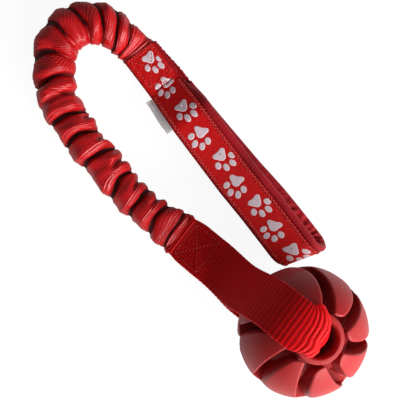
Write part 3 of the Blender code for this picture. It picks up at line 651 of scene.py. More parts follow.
def make_tag(finish):
    """The blank tag that is sewn into the loop's left edge, sloping and slightly twisted."""
    run = np.linspace(25.6, 48.2, 60)
    rr = run[:, None]
    side, thick = flat_section(-16.4, -11.2, 0.42, 20, 0.45)
    thick = thick + 0.04 * ridge(rr / 0.6)
    droop = (1.3 - 2.6 * (rr - run[0]) / (run[-1] - run[0])) * smooth((-12.2 - side) / 3) + 0.1 * np.sin(rr / 3.1)
    moved = side + 0.3 * smooth((rr - 40) / 6) - 0.2 * smooth((30 - rr) / 5)
    outer, inner = (loop.points(rr, moved, droop + sign * thick) for sign in (1, -1))
    return flat_cloth("label_tag", outer, inner, run, side, 20, finish)


def make_handle(finish):
    """Everything that rides on the hand loop."""
    web = loop_cloth(
        "webbing_strip", 0.0, WEB_SIDES, 0.8, loop.length, 30, 1.0, finish["webbing"],
        lambda run, side: 0.1 * ridge(run / 1.25 + 0.15 * np.sin(side * 0.5)) - 0.03,
        lambda run: 0.16 * np.sin(2 * np.pi * run / 2.5) + 0.12 * np.sin(2 * np.pi * run / 3.9 + 1),
    )
    ribbon = loop_cloth(
        "ribbon_strip", RIBBON_LEVEL, RIBBON_SIDES, 0.4, loop.length - 0.6, 40, 0.5, finish["ribbon"],
        ribbon_dip, lambda run: 0.08 * np.sin(2 * np.pi * run / 1.7),
    )
    lining = make_lining(finish["lining"])
    rows = [stitch for side in STITCH_SIDES for stitch in zigzag(side, 26.0, loop.length - 26.0)]
    zig = thread_mesh("edge_stitches", rows, STITCH_RADIUS, finish["bright_thread"], 0.9)
    (low, high), (first, last) = TACK_SIDES, TACK_ENDS
    box = [(first, low), (first, high), (last, high), (last, low), (first, low), (last, high)]
    paths = (box, [(first, high), (last, low)], [(0.45, -10.6), (0.45, 7.9)])
    tack = [stitch for path in paths for stitch in stitch_row(path, 2.0, 0.25)]
    stitched = thread_mesh("tack_stitches", tack, STITCH_RADIUS, finish["bright_thread"], 0.75)
    prints = make_prints([finish["print"], finish["print_rim"]])
    tag = make_tag(finish["tag"])
    cuff = flat_end(
        "upper_cuff_fabric", (SEAM + 0.6 * HANDLE_Y + 4.5 * UP, HANDLE_X, HANDLE_Y, UP), np.linspace(0.6, 23.0, 60),
        lambda along, q: 0.12 * ridge(along / 1.4) + 0.25 * np.sin(q * 17 + 0.3 * along),
        (9.6, 0.2), (1.35, 0.5), 10, finish["sleeve"],
    )
    for obj, slot, *nodes in (
        (web, "webbing", "handle_webbing"),
        (ribbon, "ribbon", "paw_ribbon"),
        (lining, "lining", "handle_lining"),
        (zig, "thread"),
        (stitched, "thread", "handle_box_stitch"),
        (prints, "ribbon"),
        (tag, "tag", "side_tag"),
        (cuff, "sleeve", "sleeve_upper_cuff"),
    ):
        tell(obj, "handle", slot, *nodes)


# Sleeve

# The middle line's arcs, by length and turn in degrees
SLEEVE_ARCS = ((18, 17), (13, 37), (36, 88), (36, 37), (89, 16))
SLEEVE_LENGTH = 192.0
STATIONS = np.array((0, 0.08, 0.16, 0.27, 0.38, 0.55, 0.9, 0.955, 0.985, 1)) * SLEEVE_LENGTH
HALF_WIDTHS = np.array((10.2, 10.3, 12.3, 12.6, 12.0, 11.3, 10.4, 12.2, 12.9, 12.4))
HALF_HEIGHTS = np.array((4.6, 9.3, 11.0, 11.0, 11.0, 10.5, 10.2, 7.4, 3.6, 2.4))
MIDDLE_STATIONS = np.array((0, 0.08, 0.16, 0.27, 0.38, 0.55, 0.9, 1)) * SLEEVE_LENGTH
MIDDLE_HEIGHTS = (4.5, 8.85, 10.5, 10.5, 10.5, 9.95, 9.73, 10.5)
# The creases' places along the line, and how deep each is
CREASES = np.array(
    (-9, 3.3, 10.1, 17.2, 27.2, 38.4, 50.8, 63.8, 77.2, 88.4)
    + (99.5, 112.5, 126.8, 145.5, 160.2, 173.7, 185.3, 190.6, 200)
)
CREASE_DEPTHS = np.array(
    (0.5, 0.55, 0.75, 0.85, 0.95, 0.95, 0.95, 1.0, 1.1, 0.4, 1.15, 1.2, 1.15, 1.15, 1.1, 1.05, 0.85, 1.05, 0.6)
)
# How far each crease runs ahead along the line on the bend's inner side, and behind on its outer side
CREASE_LEANS = (-2, -2.5, -3.5, -4.8, -4.3, -2.5, 0, -0.7, -2.8, -0.5, 1.7, 1.3, 1.7, -1.5, -1.2, -0.6, -1.3, -0.6, 0)
# The hollows on the bend's inner side: place along the line and reach round it in degrees
DENTS = ((88.4, 60), (105.3, 36), (120.0, 36), (137.5, 58), (154.4, 52), (168.3, 50))
# How far the tube strays sideways from the line at places along it
DRIFT_STATIONS = (
    (0, 12, 17.7, 27, 32.5, 37, 45.2, 53.5, 62.7, 74.4, 84.8)
    + (97.8, 104, 111.2, 124.8, 132, 140.9, 155.6, 167.7, 179.7, 184, 190.8)
)
DRIFTS = (
    (0.4, 2.2, 1.5, 0.6, 0.3, 0, -1.5, -0.6, -0.2, 0.3, -0.5)
    + (-0.7, 0.7, -1.1, -0.7, 0.1, -1.2, -1.8, -1.4, -1.0, 0.1, -0.4)
)
RIB_PITCH = 1.5
LINE_STEP = 0.05
# The creases where the tube is parted into its five pieces
SPLITS = (0.0, 10.1, 38.4, 77.2, 112.5, SLEEVE_LENGTH)


def sleeve_line():
    """Plan points and headings along the sleeve's middle line, a little past both ends."""
    s = np.arange(-12, SLEEVE_LENGTH + 12, LINE_STEP)
    bend = np.zeros_like(s)
    first = 0.0
    for length, turn in SLEEVE_ARCS:
        bend[(s >= first) & (s < first + length)] = math.radians(turn) / length
        first += length
    heading = HANDLE_HEADING + math.pi + np.cumsum(bend) * LINE_STEP
    x, y = (np.cumsum(part(heading)) * LINE_STEP for part in (np.cos, np.sin))
    return s, x - np.interp(0, s, x) + SEAM[0], y - np.interp(0, s, y) + SEAM[1], heading


LINE = sleeve_line()


def eased(s, stations, values):
    """A value between stations, eased as the part's own is."""
    s = np.clip(s, stations[0], stations[-1])
    i = np.clip(np.searchsorted(stations, s, side="right") - 1, 0, len(stations) - 2)
    values = np.asarray(values, float)
    share = (s - stations[i]) / (stations[i + 1] - stations[i])
    return values[i] + (values[i + 1] - values[i]) * smooth(share)


def sleeve_middle(s):
    """Points of the tube's middle at places along the line, and the side direction at each."""
    x, y, heading = (np.interp(s, LINE[0], line) for line in LINE[1:])
    drift = np.interp(s, DRIFT_STATIONS, DRIFTS)
    z = eased(s, MIDDLE_STATIONS, MIDDLE_HEIGHTS)
    side = np.stack([-np.sin(heading), np.cos(heading), 0 * heading], -1)
    return np.stack([x, y, z], -1) + side * drift[..., None], side


def crest(a):
    """0 in each crease and 1 on each fold, the local crease depth, and the distance left to the next crease."""
    k = np.clip(np.searchsorted(CREASES, a, side="right") - 1, 0, len(CREASES) - 2)
    p = np.clip((a - CREASES[k]) / (CREASES[k + 1] - CREASES[k]), 0, 1)
    depth = CREASE_DEPTHS[k] * (1 - smooth(p)) + CREASE_DEPTHS[k + 1] * smooth(p)
    length = CREASES[k + 1] - CREASES[k]
    since, left = p * length, (1 - p) * length
    near = np.minimum(length / 11, 1)
    rise = 0.66 * smooth((since - 0.8 * near) / (2.6 * near)) + 0.34 * smooth((since - 1.0) / (0.62 * length))
    fall = 0.62 * smooth(left / (1.5 * near)) + 0.38 * smooth(left / (4.8 * near))
    return rise * fall, depth, left / near


def sleeve_points(a, theta, run, inset=0.0):
    """Points of the sleeve at crease coordinates a and angles theta, with the rib of each and the painted shade that
    darkens its colour in creases and dents.
    run is the cloth's own length at a."""
    a, run = a[:, None], run[:, None]
    theta = theta[None, :]
    ct, st = np.cos(theta), np.sin(theta)
    ends = window(a, -1, 14, SLEEVE_LENGTH + 1, 9)
    straight = smooth((a - 128) / 22)
    arch = window(a, 22, 8, 82, 12)
    lean = np.interp(a, CREASES, CREASE_LEANS) * ct
    bow = -2.6 * (1 - 0.45 * straight) * np.where(st > 0, st, st * 0.5)
    drift = 0.45 * np.sin(2 * theta + a * 0.23) + 0.35 * np.sin(3 * theta + a * 0.57)
    s = a + ends * (lean + bow + drift)
    middle, side = sleeve_middle(s)
    fold, depth, left = crest(a)
    top = np.clip(st, 0, 1) ** 0.7
    deep = np.minimum(depth * (0.13 + 0.37 * top) * (0.7 + 0.3 * ends), 0.5) * (1 - 0.45 * arch * np.clip(ct, 0, 1))
    lump = 0.025 * np.sin(3 * theta + a * 0.31) + 0.02 * np.sin(5 * theta - a * 0.17)
    lump = lump + 0.015 * np.sin(a * 0.9 + 2 * theta)
    size = 1 - deep * (1 - fold) + lump * fold
    sink = np.zeros_like(s)
    around = np.degrees((theta + np.pi - 0.2) % (2 * np.pi) - np.pi)
    for place, reach in DENTS:
        sink = sink + bump_at(a, place - 1.0 + 0.02 * around, 1.9) * smooth((reach + 22 - np.abs(around)) / 34)
    slope = 0.62 * window(a, 20, 8, 92, 14)
    spine = np.pi / 2 - 0.7 * smooth((a - 66) / 12)
    away = np.abs((theta - spine + np.pi) % (2 * np.pi) - np.pi)
    phase = (run + slope * 11.0 * np.minimum(away, 1.9)) / RIB_PITCH + 0.12 * np.sin(theta * 4 + a * 0.4)
    streak = window(left, 0, 0.7, 5.0, 1.6)
    chevron = arch * (0.12 + 0.34 * bump_at(away, 0, 1.1))
    ribs = (ridge(phase) - 0.5) * (0.1 + 0.34 * streak + chevron) * smooth(fold * 2.2)
    out = -2.5 * sink + ribs - inset
    ring = np.stack([side[..., 0] * ct, side[..., 1] * ct, st + 0 * a], -1)
    w, h = (eased(s, STATIONS, halves) * size for halves in (HALF_WIDTHS, HALF_HEIGHTS))
    square = 1 / (np.abs(ct) ** 2.3 + np.abs(st) ** 2.3) ** (1 / 2.3)
    offset = np.stack([side[..., 0] * ct * w, side[..., 1] * ct * w, st * h], -1) * square[..., None]
    points = middle + offset + ring * out[..., None]
    floor = 0.25 + 0.9 * inset + 0.12 * ridge(phase)
    points[..., 2] = np.maximum(points[..., 2], floor)
    # Painted shade: how much each point's colour is darkened in the creases and the dents, where shade falls.
    painted_crease_shade = (1 - fold) * np.clip(depth / 0.9, 0, 1) * (1 - 0.6 * arch * np.clip(ct, 0, 1))
    return points, phase * RIB_PITCH, np.maximum(painted_crease_shade, 0.8 * sink)


def make_core(name, first, last, finish):
    """The elastic's braided cover, between two places along the sleeve."""
    s = np.arange(first, last, 0.5)
    angle = np.linspace(0, 2 * np.pi, 24, endpoint=False)[None, :]
    middle, side = sleeve_middle(s)
    strands = (np.abs(np.sin(s[:, None] * 0.9 + way * angle * 4)) for way in (1, -1))
    radius = 4.1 + 0.22 * np.maximum(*strands)
    ring = side[:, None] * np.cos(angle)[..., None] + UP * np.sin(angle)[..., None]
    return swept(name, middle[:, None] + ring * radius[..., None], s, np.linspace(0, 27, 25), finish)


def make_sleeve(finish):
    """The gathered tube in five pieces, with the elastic's cover inside."""
    fine = np.arange(0, SLEEVE_LENGTH, 0.02)
    fold, depth, _ = crest(fine)
    rise = np.diff(11.0 * depth * 0.33 * fold, prepend=0.0)
    cloth = np.cumsum(np.hypot(0.02, rise))
    theta = np.linspace(0, 2 * np.pi, 120, endpoint=False)
    around = np.linspace(0, 70, 121)
    numbers = ((1,), (1, 2), (2, 3), (3, 4), (4,))
    for i, (first, last) in enumerate(zip(SPLITS, SPLITS[1:])):
        low, high = first + (0.3 if i == 0 else 0.05), last - (0.3 if i == 4 else 0.05)
        c0, c1 = np.interp((low, high), fine, cloth)
        run = np.linspace(c0, c1, int((c1 - c0) / 0.26))
        a = np.interp(run, cloth, fine)
        outer, outer_rib, outer_painted_shade = sleeve_points(a, theta, run)
        pick = np.unique(np.append(np.arange(0, len(a), 5), len(a) - 1))
        inner, inner_rib, inner_painted_shade = sleeve_points(a[pick], theta, run[pick], inset=0.8)
        rings = np.concatenate([outer, inner[::-1]])
        along = np.concatenate([outer_rib, inner_rib[::-1], outer_rib[:1]])
        along = np.concatenate([along, along[:, :1]], 1)
        quads = ring_quads(*rings.shape[:2], loop_rings=True)
        uv = ring_uv(along, around)
        sleeve = make_mesh(f"sleeve_gather_{i + 1}", rings.reshape(-1, 3), quads, uv, [finish["sleeve"]])
        # Painted shade for the creases and dents, kept on the mesh for the sleeve's material.
        painted_crease_shade = np.concatenate([outer_painted_shade, inner_painted_shade[::-1]]).astype(np.float32)
        sleeve.data.attributes.new("crease", "FLOAT", "POINT").data.foreach_set("value", painted_crease_shade.ravel())
        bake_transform(sleeve)
        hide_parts(*(f"sleeve_{n}" for n in numbers[i]))
        if i > 0:
            core = make_core(f"core_braid_{i + 1}", max(first, 12), min(last, 180) + 0.3, finish["braid"])
            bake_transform(core)
            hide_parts(*(f"bungee_core_{n}" for n in numbers[i]))


# Cuff, strap and ball places

CUFF_LENGTH = 20.0
CUFF_SLOPE = math.radians(18)
STRAP_STEP = (3.0 + 1.4) / 2 + 0.3
STRAP_HALF_WIDTH = 13.0
STRAP_START = -2.4
BALL_RADIUS = 35.0
WRAP_RADIUS = BALL_RADIUS + 0.3 + 0.7
RING_OUTER = 13.5
LOBE_INNER = 14.3
RIM_ANGLE = math.asin(RING_OUTER / WRAP_RADIUS)
STRAP_SHIFT = -0.6
STRAP_DRIFT = -0.8


def cuff_places():
    """Where the lower cuff starts, and its run, side and up directions."""
    x, y, heading = (float(np.interp(SLEEVE_LENGTH, LINE[0], line)) for line in LINE[1:])
    flat = np.array((math.cos(heading), math.sin(heading), 0))
    run = flat * math.cos(CUFF_SLOPE) + UP * math.sin(CUFF_SLOPE)
    side = np.cross(UP, flat)
    lean = (1.5 - 0.8) * math.sin(CUFF_SLOPE) + 0.8 * (1 - math.cos(CUFF_SLOPE))
    start = np.array((x, y, 10.5)) + run * ((0.3 + lean) / math.cos(CUFF_SLOPE))
    return start, run, side, np.cross(run, side)


CUFF_START, CUFF_RUN, CUFF_SIDE, CUFF_UP = cuff_places()
CUFF_END = CUFF_START + CUFF_RUN * CUFF_LENGTH
STRAP_HEADING = math.radians(-37.8)
TILT, TILT_HEADING = math.radians(9.7), math.radians(7)
AXIS = np.array((math.cos(TILT_HEADING) * math.sin(TILT), math.sin(TILT_HEADING) * math.sin(TILT), math.cos(TILT)))
LOBE_START = math.asin(LOBE_INNER / BALL_RADIUS)
BALL_HEIGHT = BALL_RADIUS * math.cos(max(LOBE_START - TILT, 0)) + 0.3
AHEAD = np.array((math.cos(STRAP_HEADING), math.sin(STRAP_HEADING), 0))
BALL_CENTRE = CUFF_END * (1, 1, 0) + AHEAD * (BALL_RADIUS + 26.2) + UP * BALL_HEIGHT
ACROSS = AHEAD - AXIS * AXIS.dot(AHEAD)
ACROSS /= np.linalg.norm(ACROSS)
WIDTH = np.cross(AXIS, ACROSS)

# Where the strap turns down into the bore, seen from above: share of the half width, reach across, sideways
TURN_LINE = np.array(
    (
        (-1, -0.3, -11.3), (-0.86, 1.5, -9.8), (-0.6, 2.5, -6.2), (-0.42, 1.8, -4.0), (-0.28, 0.7, -2.3),
        (-0.08, 0.8, 0.4), (0.3, 0.8, 5.4), (0.55, -0.9, 8.7), (0.75, -3.5, 11.2), (0.9, -6.7, 13.0), (1, -9.3, 14.2),
    )
)


def strap_half(sign, q):
    """Rows of points across the strap from the cuff to the middle of the bore, over the ball (1) or under it (-1)."""
    touch = math.radians(54) if sign > 0 else RIM_ANGLE + math.radians(2)
    cap = WRAP_RADIUS if sign > 0 else WRAP_RADIUS * math.cos(LOBE_START)
    half = STRAP_HALF_WIDTH

    def on_ball(x, y, sideways):
        x, y, sideways = (np.broadcast_to(np.asarray(v, float), q.shape)[:, None] for v in (x, y, sideways))
        return BALL_CENTRE + ACROSS * x + AXIS * (sign * y) + WIDTH * sideways

    def height(x):
        return np.minimum(np.sqrt(WRAP_RADIUS**2 - np.asarray(x) ** 2), cap)

    rows = []
    level = CUFF_UP * (sign * STRAP_STEP)
    for distance in np.arange(-3.0, CUFF_LENGTH, 0.8):
        near = half - 1.2 * (1 - smooth((distance + 3) / 9))
        beside = (near * q - 0.3 * smooth(distance / 20))[:, None]
        rows.append(CUFF_START + CUFF_RUN * distance + level + CUFF_SIDE * beside)
    leave = CUFF_END + level - CUFF_SIDE * 0.3
    arrive = BALL_CENTRE - ACROSS * (WRAP_RADIUS * math.sin(touch)) + AXIS * (sign * WRAP_RADIUS * math.cos(touch))
    arrive = arrive + WIDTH * STRAP_SHIFT
    tangent = ACROSS * math.cos(touch) + AXIS * (sign * math.sin(touch))
    ease = np.linalg.norm(arrive - leave) * 0.4
    for t in np.linspace(0, 1, 49)[:-1]:
        middle = leave * (1 - t) ** 3 + (leave + CUFF_RUN * ease) * (3 * t * (1 - t) ** 2)
        middle = middle + (arrive - tangent * ease) * (3 * t * t * (1 - t)) + arrive * t**3
        lateral = CUFF_SIDE + (WIDTH - CUFF_SIDE) * smooth(t)
        middle = middle - WIDTH * (1.4 * math.sin(math.pi * t) ** 2)
        rows.append(middle + (lateral / np.linalg.norm(lateral)) * (half * q)[:, None])
    for angle in np.linspace(touch, RIM_ANGLE, 25)[:-1]:
        x, y = WRAP_RADIUS * math.sin(angle), WRAP_RADIUS * math.cos(angle)
        drift = STRAP_DRIFT * smooth((touch - angle) / (touch - RIM_ANGLE))
        rows.append(on_ball(-x, y, half * q + STRAP_SHIFT + drift))
    drop = 7.5 * np.cos(q * np.pi / 2) - 4.0
    inside = 8.0 * np.sin(q * np.pi / 2)
    reach, lateral, bend, entry, power = drop, inside, 3.5, 27.0, 1
    if sign > 0:
        reach, lateral = (np.interp(q, TURN_LINE[:, 0], TURN_LINE[:, i]) for i in (1, 2))
        bend, entry, power = 2.2, 30.6, 1.6
    sideways = half * q + STRAP_SHIFT + STRAP_DRIFT
    for t in np.linspace(0, 1, 15)[:-1]:
        x = -RING_OUTER + (reach - bend + RING_OUTER) * t
        rows.append(on_ball(x, height(x), sideways + (lateral - sideways) * smooth(t) ** power))
    top = height(reach - bend) - bend
    for angle in np.linspace(0, np.pi / 2, 9)[:-1]:
        rows.append(on_ball(reach - bend + bend * np.sin(angle), top + bend * np.cos(angle), lateral))
    for t in np.linspace(0, 1, 7)[:-1]:
        mix = smooth(t)
        rows.append(on_ball(reach + (drop - reach) * mix, top + (entry - top) * t, lateral + (inside - lateral) * mix))
    for t in np.linspace(0, 1, 13):
        rows.append(on_ball(drop, entry * (1 - t), inside))
    return np.array(rows)


def strap_surface(columns=44):
    """The strap's middle surface in even steps along it, with the distance run and the outward normals."""
    q = spread(columns, 0.5)
    rows = np.concatenate([strap_half(1, q), strap_half(-1, q)[-2::-1]])
    steps = np.linalg.norm(np.diff(rows, axis=0), axis=2)[:, columns // 4 : -columns // 4].mean(1)
    run = np.concatenate([[0], np.cumsum(steps)])
    even = np.arange(0, run[-1], CLOTH_STEP)
    grid = np.stack([[np.interp(even, run, rows[:, c, i]) for c in range(columns)] for i in range(3)], -1)
    grid = grid.transpose(1, 0, 2)
    for _ in range(10):
        grid[1:-1] = (grid[:-2] + 2 * grid[1:-1] + grid[2:]) / 4
    normal = unit(np.cross(np.gradient(grid, axis=0), np.gradient(grid, q, axis=1)))
    if (normal[5, columns // 2] @ CUFF_UP) < 0:
        normal = -normal
    return q, even, grid, normal


def make_strap(finish):
    """The strap with its ribs, the stitches that hold it, and the sleeve's lower cuff between its legs."""
    q, run, grid, normal = strap_surface()
    run, qq = run[:, None], q[None, :]
    nearest = np.minimum(run, run[-1] - run) + STRAP_START
    sewn = 1 - smooth((nearest - 20.5) / 2.5)
    doubled = 0.75 * (1 - smooth((nearest + 0.2) / 1.6))
    pitch = 2.7 - 1.2 * sewn
    turns = np.concatenate([[[0]], np.cumsum(CLOTH_STEP / pitch[1:], 0)])
    inward = nearest / 10 - 1
    step = 0.35 * np.tanh(9 * (qq - inward)) + 0.35 * np.tanh(9 * (qq + inward))
    turn_at = nearest[np.argmax(grid[:, len(q) // 2] @ UP), 0]
    top_end = window(nearest, turn_at - 5, 5, turn_at + 12, 5)
    phase = turns + sewn * step + 0.1 * np.sin(qq * 5 + turns * 0.4) * top_end + 0.03 * np.sin(qq * 5 + run * 0.3)
    ribs = ridge(phase)
    twist = 0.07 * np.sin((qq * STRAP_HALF_WIDTH / 0.55 + np.floor(phase) * 1.3) * np.pi) * top_end
    relief = (0.13 + 0.36 * sewn + 0.22 * top_end) * (ribs - 0.5) + twist * ribs
    relief = relief + sewn * 0.1 * np.sin(qq * 30 + np.floor(phase) * 3)
    edge = np.clip(1 - np.abs(qq), 0, 1) * STRAP_HALF_WIDTH
    thick = 0.7 * np.sqrt(np.clip(1 - (1 - np.clip(edge / 0.9, 0, 1)) ** 2, 0.08, 1))
    scallop = (0.3 * (ribs - 0.5) * smooth((np.abs(qq) - 0.93) / 0.07) * np.sign(qq))[..., None]
    middle = grid + unit(np.gradient(grid, q, axis=1)) * scallop
    hem = -0.14 * bump_at(np.abs(qq), 0.9, 0.03)
    soft = smooth(edge / 0.8 + 0.2)
    outer = middle + normal * (thick + doubled + relief * soft + hem)[..., None]
    inner = middle - normal * (thick + (relief + hem) * soft)[..., None]
    along = phase[:, len(q) // 2] * STRAP_RIB
    strap = flat_cloth("strap_webbing", outer, inner, along, q * STRAP_HALF_WIDTH, 60, finish["strap"])
    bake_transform(strap)
    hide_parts("ball_strap")

    def between(table, distance, share):
        """The table's value this far from the cuff's start, at this share of the half width."""
        i, c = (distance - STRAP_START) / CLOTH_STEP, np.interp(share, q, np.arange(len(q)))
        low, c0 = int(i), min(int(c), len(q) - 2)
        row = table[low] * (low + 1 - i) + table[low + 1] * (i - low)
        return row[c0] * (c0 + 1 - c) + row[c0 + 1] * (c - c0)

    stitches = []
    box = [(2.2, -0.8), (19.0, -0.8), (19.0, 0.8), (2.2, 0.8), (2.2, -0.8), (19.0, 0.8)]
    for path in (box, [(2.2, 0.8), (19.0, -0.8)]):
        for places in stitch_ends(path, 2.1, 0.24, STRAP_HALF_WIDTH):
            ups = [between(normal, *place) for place in zip(*places)]
            start, end = (between(grid, *place) + up * 0.78 for place, up in zip(zip(*places), ups))
            stitches.append((start, end, ups[0]))
    stitched = thread_mesh("strap_stitches", stitches, 0.22, finish["bright_thread"], 0.7)
    tell(stitched, "cuff", "thread", "strap_box_stitch")
    cuff = flat_end(
        "lower_cuff_fabric", (CUFF_START, CUFF_RUN, CUFF_SIDE, CUFF_UP), np.linspace(0.2, CUFF_LENGTH - 0.2, 60),
        lambda along, q: 0.5 * ridge(along / 1.4) + 0.5 * np.sin(q * 15 + along * 0.4),
        (10.9, 0.15), (1.3, 0.15), 11, finish["sleeve"],
    )
    tell(cuff, "cuff", "sleeve", "sleeve_lower_cuff")


# Ball

CORE_RADIUS = 24.0
BORE_RADIUS = 10.0
RING_TOP = 31.47
SLOT_HALF = 3.25
SLOT_START = math.radians(2.5)
SLOT_TWIST = math.radians(23.5)
SLOT_COUNT = 8


def round_max(a, b, radius):
    """Intersection of two solids whose shared edge is rounded."""
    return np.minimum(-radius, np.maximum(a, b)) + np.hypot(np.maximum(a + radius, 0), np.maximum(b + radius, 0))


def round_min(a, b, radius):
    """Union of two solids with a fillet between them."""
    return np.maximum(radius, np.minimum(a, b)) - np.hypot(np.maximum(radius - a, 0), np.maximum(radius - b, 0))


def ball_field(x, y, z):
    """Signed distance to the ball: core, hub rings, and eight lobes in each half between swept slots."""
    rho = np.hypot(x, y)
    r = np.hypot(rho, z)
    rise = np.sqrt(np.maximum(1 - (rho / BALL_RADIUS) ** 2, 0.015))
    slope = SLOT_TWIST * rho / (BALL_RADIUS**2 * rise)
    even = np.sqrt(1 + (rho * slope) ** 2)
    lobes = (np.maximum(lobe_field(x, y, rho, r, half, rise, even), -half * z - 0.7) for half in (1, -1))
    lobe = round_min(*lobes, 0.9)
    post_x = np.abs(rho - 11.75) - (1.75 - 1.5)
    post_z = np.abs(z) - (RING_TOP - 1.5)
    post = np.minimum(np.maximum(post_x, post_z), 0) + np.hypot(np.maximum(post_x, 0), np.maximum(post_z, 0)) - 1.5
    groove = 0.35 * np.exp(-(((rho - 12.1) / 0.45) ** 2)) * smooth((np.abs(z) - 29) / 1.5)
    body = round_min(r - CORE_RADIUS, post + groove, 0.8)
    body = round_min(body, lobe, 0.9)
    return np.maximum(body, BORE_RADIUS - rho)


def lobe_field(x, y, rho, r, half, rise, even):
    """The lobes of one half of the ball. Their walls stand along the bore, on lines that sweep round it."""
    pitch = 2 * np.pi / SLOT_COUNT
    ahead = np.mod(np.arctan2(y, x) - SLOT_START + half * SLOT_TWIST * rise, pitch)
    wall_a = (SLOT_HALF - rho * np.sin(ahead)) / even
    wall_b = (SLOT_HALF - rho * np.sin(pitch - ahead)) / even
    inner = LOBE_INNER - rho
    wide, tight = 4.2, 1.0
    corner_a = round_max(wall_a, inner, wide if half > 0 else tight)
    corner_b = round_max(wall_b, inner, tight if half > 0 else wide)
    return round_max(np.maximum(corner_a, corner_b), r - BALL_RADIUS, 1.1)


def surface_net(field, reach, cell):
    """A quad mesh of a field's zero surface inside a cube, one point per crossed cell."""
    count = int(2 * reach / cell) + 2
    axis = (np.arange(count) - (count - 1) / 2) * cell + 0.013
    x, y, z = np.meshgrid(axis, axis, axis, indexing="ij")
    value = field(x, y, z).astype(np.float32)
    inside = value < 0
    corners = [(i, j, k) for i in (0, 1) for j in (0, 1) for k in (0, 1)]

    def part(grid, corner):
        i, j, k = corner
        return grid[i : count - 1 + i, j : count - 1 + j, k : count - 1 + k]

    total = sum(part(inside, corner).astype(np.int8) for corner in corners)
    active = (total > 0) & (total < 8)
    cells = np.argwhere(active)
    index = np.full(active.shape, -1, np.int64)
    index[active] = np.arange(len(cells))
    points, crossings = np.zeros((len(cells), 3)), np.zeros(len(cells))
    for start in corners:
        for dim in range(3):
            if start[dim]:
                continue
            stop = tuple(1 if d == dim else start[d] for d in range(3))
            v0, v1 = part(value, start)[active], part(value, stop)[active]
            crossed = (v0 < 0) != (v1 < 0)
            t = v0 / np.where(crossed, v0 - v1, 1)
            place = np.array(start, float) + t[:, None] * (np.array(stop) - start)
            points[crossed] += place[crossed]
            crossings += crossed
    points = (cells + points / crossings[:, None]) * cell + axis[0]
    quads = []
    for dim in range(3):
        others = [d for d in range(3) if d != dim]
        edges = np.argwhere(np.diff(inside, axis=dim))
        edges = edges[np.all((edges[:, others] > 0) & (edges[:, others] < count - 1), axis=1)]
        outward = inside[tuple(edges.T)]
        around = []
        for da, db in ((0, 0), (1, 0), (1, 1), (0, 1)):
            cell_at = edges.copy()
            cell_at[:, others[0]] -= da
            cell_at[:, others[1]] -= db
            around.append(index[tuple(cell_at.T)])
        quad = np.stack(around, 1)
        flip = outward if dim != 1 else ~outward
        quad[flip] = quad[flip][:, ::-1]
        quads.append(quad)
    for _ in range(3):
        level = field(*points.T)
        slope = np.stack([field(*(points + e).T) - field(*(points - e).T) for e in np.eye(3) * 0.02], 1) / 0.04
        move = slope * (level / np.maximum((slope**2).sum(1), 0.25))[:, None]
        points = points - np.clip(move, -cell * 0.4, cell * 0.4)
    return points, np.concatenate(quads)


def make_ball(finish):
    points, quads = surface_net(ball_field, BALL_RADIUS + 1.0, 0.55)
    turn = Vector((0, 0, 1)).rotation_difference(Vector(AXIS)).to_matrix()
    placed = points @ np.array(turn).T + BALL_CENTRE
    tell(make_mesh("ball_rubber", placed, quads, None, [finish["rubber"]]), "ball", "ball", "ball")


# Stage

FLOOR_HALF = 2500
FLOOR_LEVEL = -0.25


def make_key(azimuth, elevation, distance, aim, width, height, power):
    """A soft lamp at this azimuth and elevation round the origin, turned to a point."""
    data = bpy.data.lights.new("key", "AREA")
    data.shape = "RECTANGLE"
    data.size, data.size_y = width, height
    data.energy = power
    a, e = math.radians(azimuth), math.radians(elevation)
    lamp = link("key", data)
    lamp.location = np.array((math.cos(a) * math.cos(e), math.sin(a) * math.cos(e), math.sin(e))) * distance
    lamp.rotation_euler = (Vector(aim) - lamp.location).to_track_quat("-Z", "Y").to_euler()


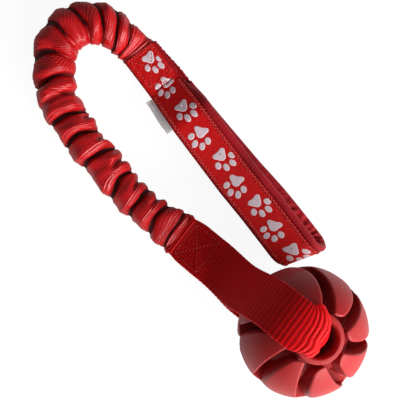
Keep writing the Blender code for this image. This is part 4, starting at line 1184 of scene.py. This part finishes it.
def make_stage():
    floor = Finish("floor_paper", 0.9, 0.0)
    path = floor.node("ShaderNodeLightPath").outputs["Is Camera Ray"]
    seen = floor.mix(floor.noise(40.0), (0.15, 0.15, 0.15), (0.17, 0.17, 0.17))
    floor.set(floor.shader.inputs["Base Color"], floor.mix(path, (0.8, 0.8, 0.8), seen))
    floor.shader.inputs["Emission Color"].default_value = (1, 1, 1, 1)
    floor.set(floor.shader.inputs["Emission Strength"], floor.math("MULTIPLY", path, 0.92))
    corners = [(x * FLOOR_HALF, y * FLOOR_HALF, FLOOR_LEVEL) for x, y in ((-1, -1), (1, -1), (1, 1), (-1, 1))]
    make_mesh("floor", corners, [[0, 1, 2, 3]], None, [floor.material])

    world = bpy.data.worlds.new("studio")
    bpy.context.scene.world = world
    world.use_nodes = True
    nodes, links = world.node_tree.nodes, world.node_tree.links
    nodes.clear()
    choose = nodes.new("ShaderNodeMixShader")
    links.new(nodes.new("ShaderNodeLightPath").outputs["Is Camera Ray"], choose.inputs[0])
    for socket, strength in zip(choose.inputs[1:], (0.2, 1.0)):
        light = nodes.new("ShaderNodeBackground")
        light.inputs["Color"].default_value = (1, 1, 1, 1)
        light.inputs["Strength"].default_value = strength
        links.new(light.outputs[0], socket)
    links.new(choose.outputs[0], nodes.new("ShaderNodeOutputWorld").inputs[0])

    make_key(-46, 29, 0.78, (0, 0, 0.01), 1.1, 0.22, 13.0)

    camera = link("camera", bpy.data.cameras.new("camera"))
    camera.data.lens = CAMERA_LENS
    camera.data.sensor_width = CAMERA_SENSOR
    camera.data.clip_start = 0.01
    camera.location = CAMERA_PLACE
    bpy.context.scene.camera = camera
    bpy.context.scene.view_settings.view_transform = "Standard"


SLEEVE_RED = (0.57, 0.003, 0.006)
FINISHES = {
    "webbing": woven("webbing_nylon", (0.46, 0.004, 0.008), 0.5, 1.25, 0.9, 0.12, specular=0.2),
    # The sleeve's material darkens its creases and dents with painted shade, by the last amount.
    "sleeve": woven("sleeve_nylon", SLEEVE_RED, 0.31, RIB_PITCH, 0.55, 0.05, 0.72, 1.15, specular=0.45, painted_crease_shade=0.9),
    "strap": woven("strap_nylon", (0.7, 0.004, 0.007), 0.4, STRAP_RIB, 0.62, 0.12, 0.6, 1.2, specular=0.12),
    "lining": lining_finish((0.40, 0.004, 0.012)),
    "ribbon": ribbon_finish((0.62, 0.005, 0.006)),
    "print": print_finish("print_grey", (0.74, 0.59, 0.65)),
    "print_rim": print_finish("print_rim", (0.88, 0.74, 0.78)),
    "tag": tag_finish((0.9, 0.88, 0.89)),
    "bright_thread": thread_finish((0.85, 0.055, 0.05)),
    # The rubber's last colour is its paler convex edges, partly wear and partly a painted highlight.
    "rubber": rubber_finish((0.35, 0.003, 0.004), (0.46, 0.016, 0.018), (0.7, 0.14, 0.15)),
    "braid": braid_finish((0.35, 0.3, 0.28)),
}

make_stage()
make_ball(FINISHES)
make_strap(FINISHES)
make_handle(FINISHES)
make_sleeve(FINISHES)
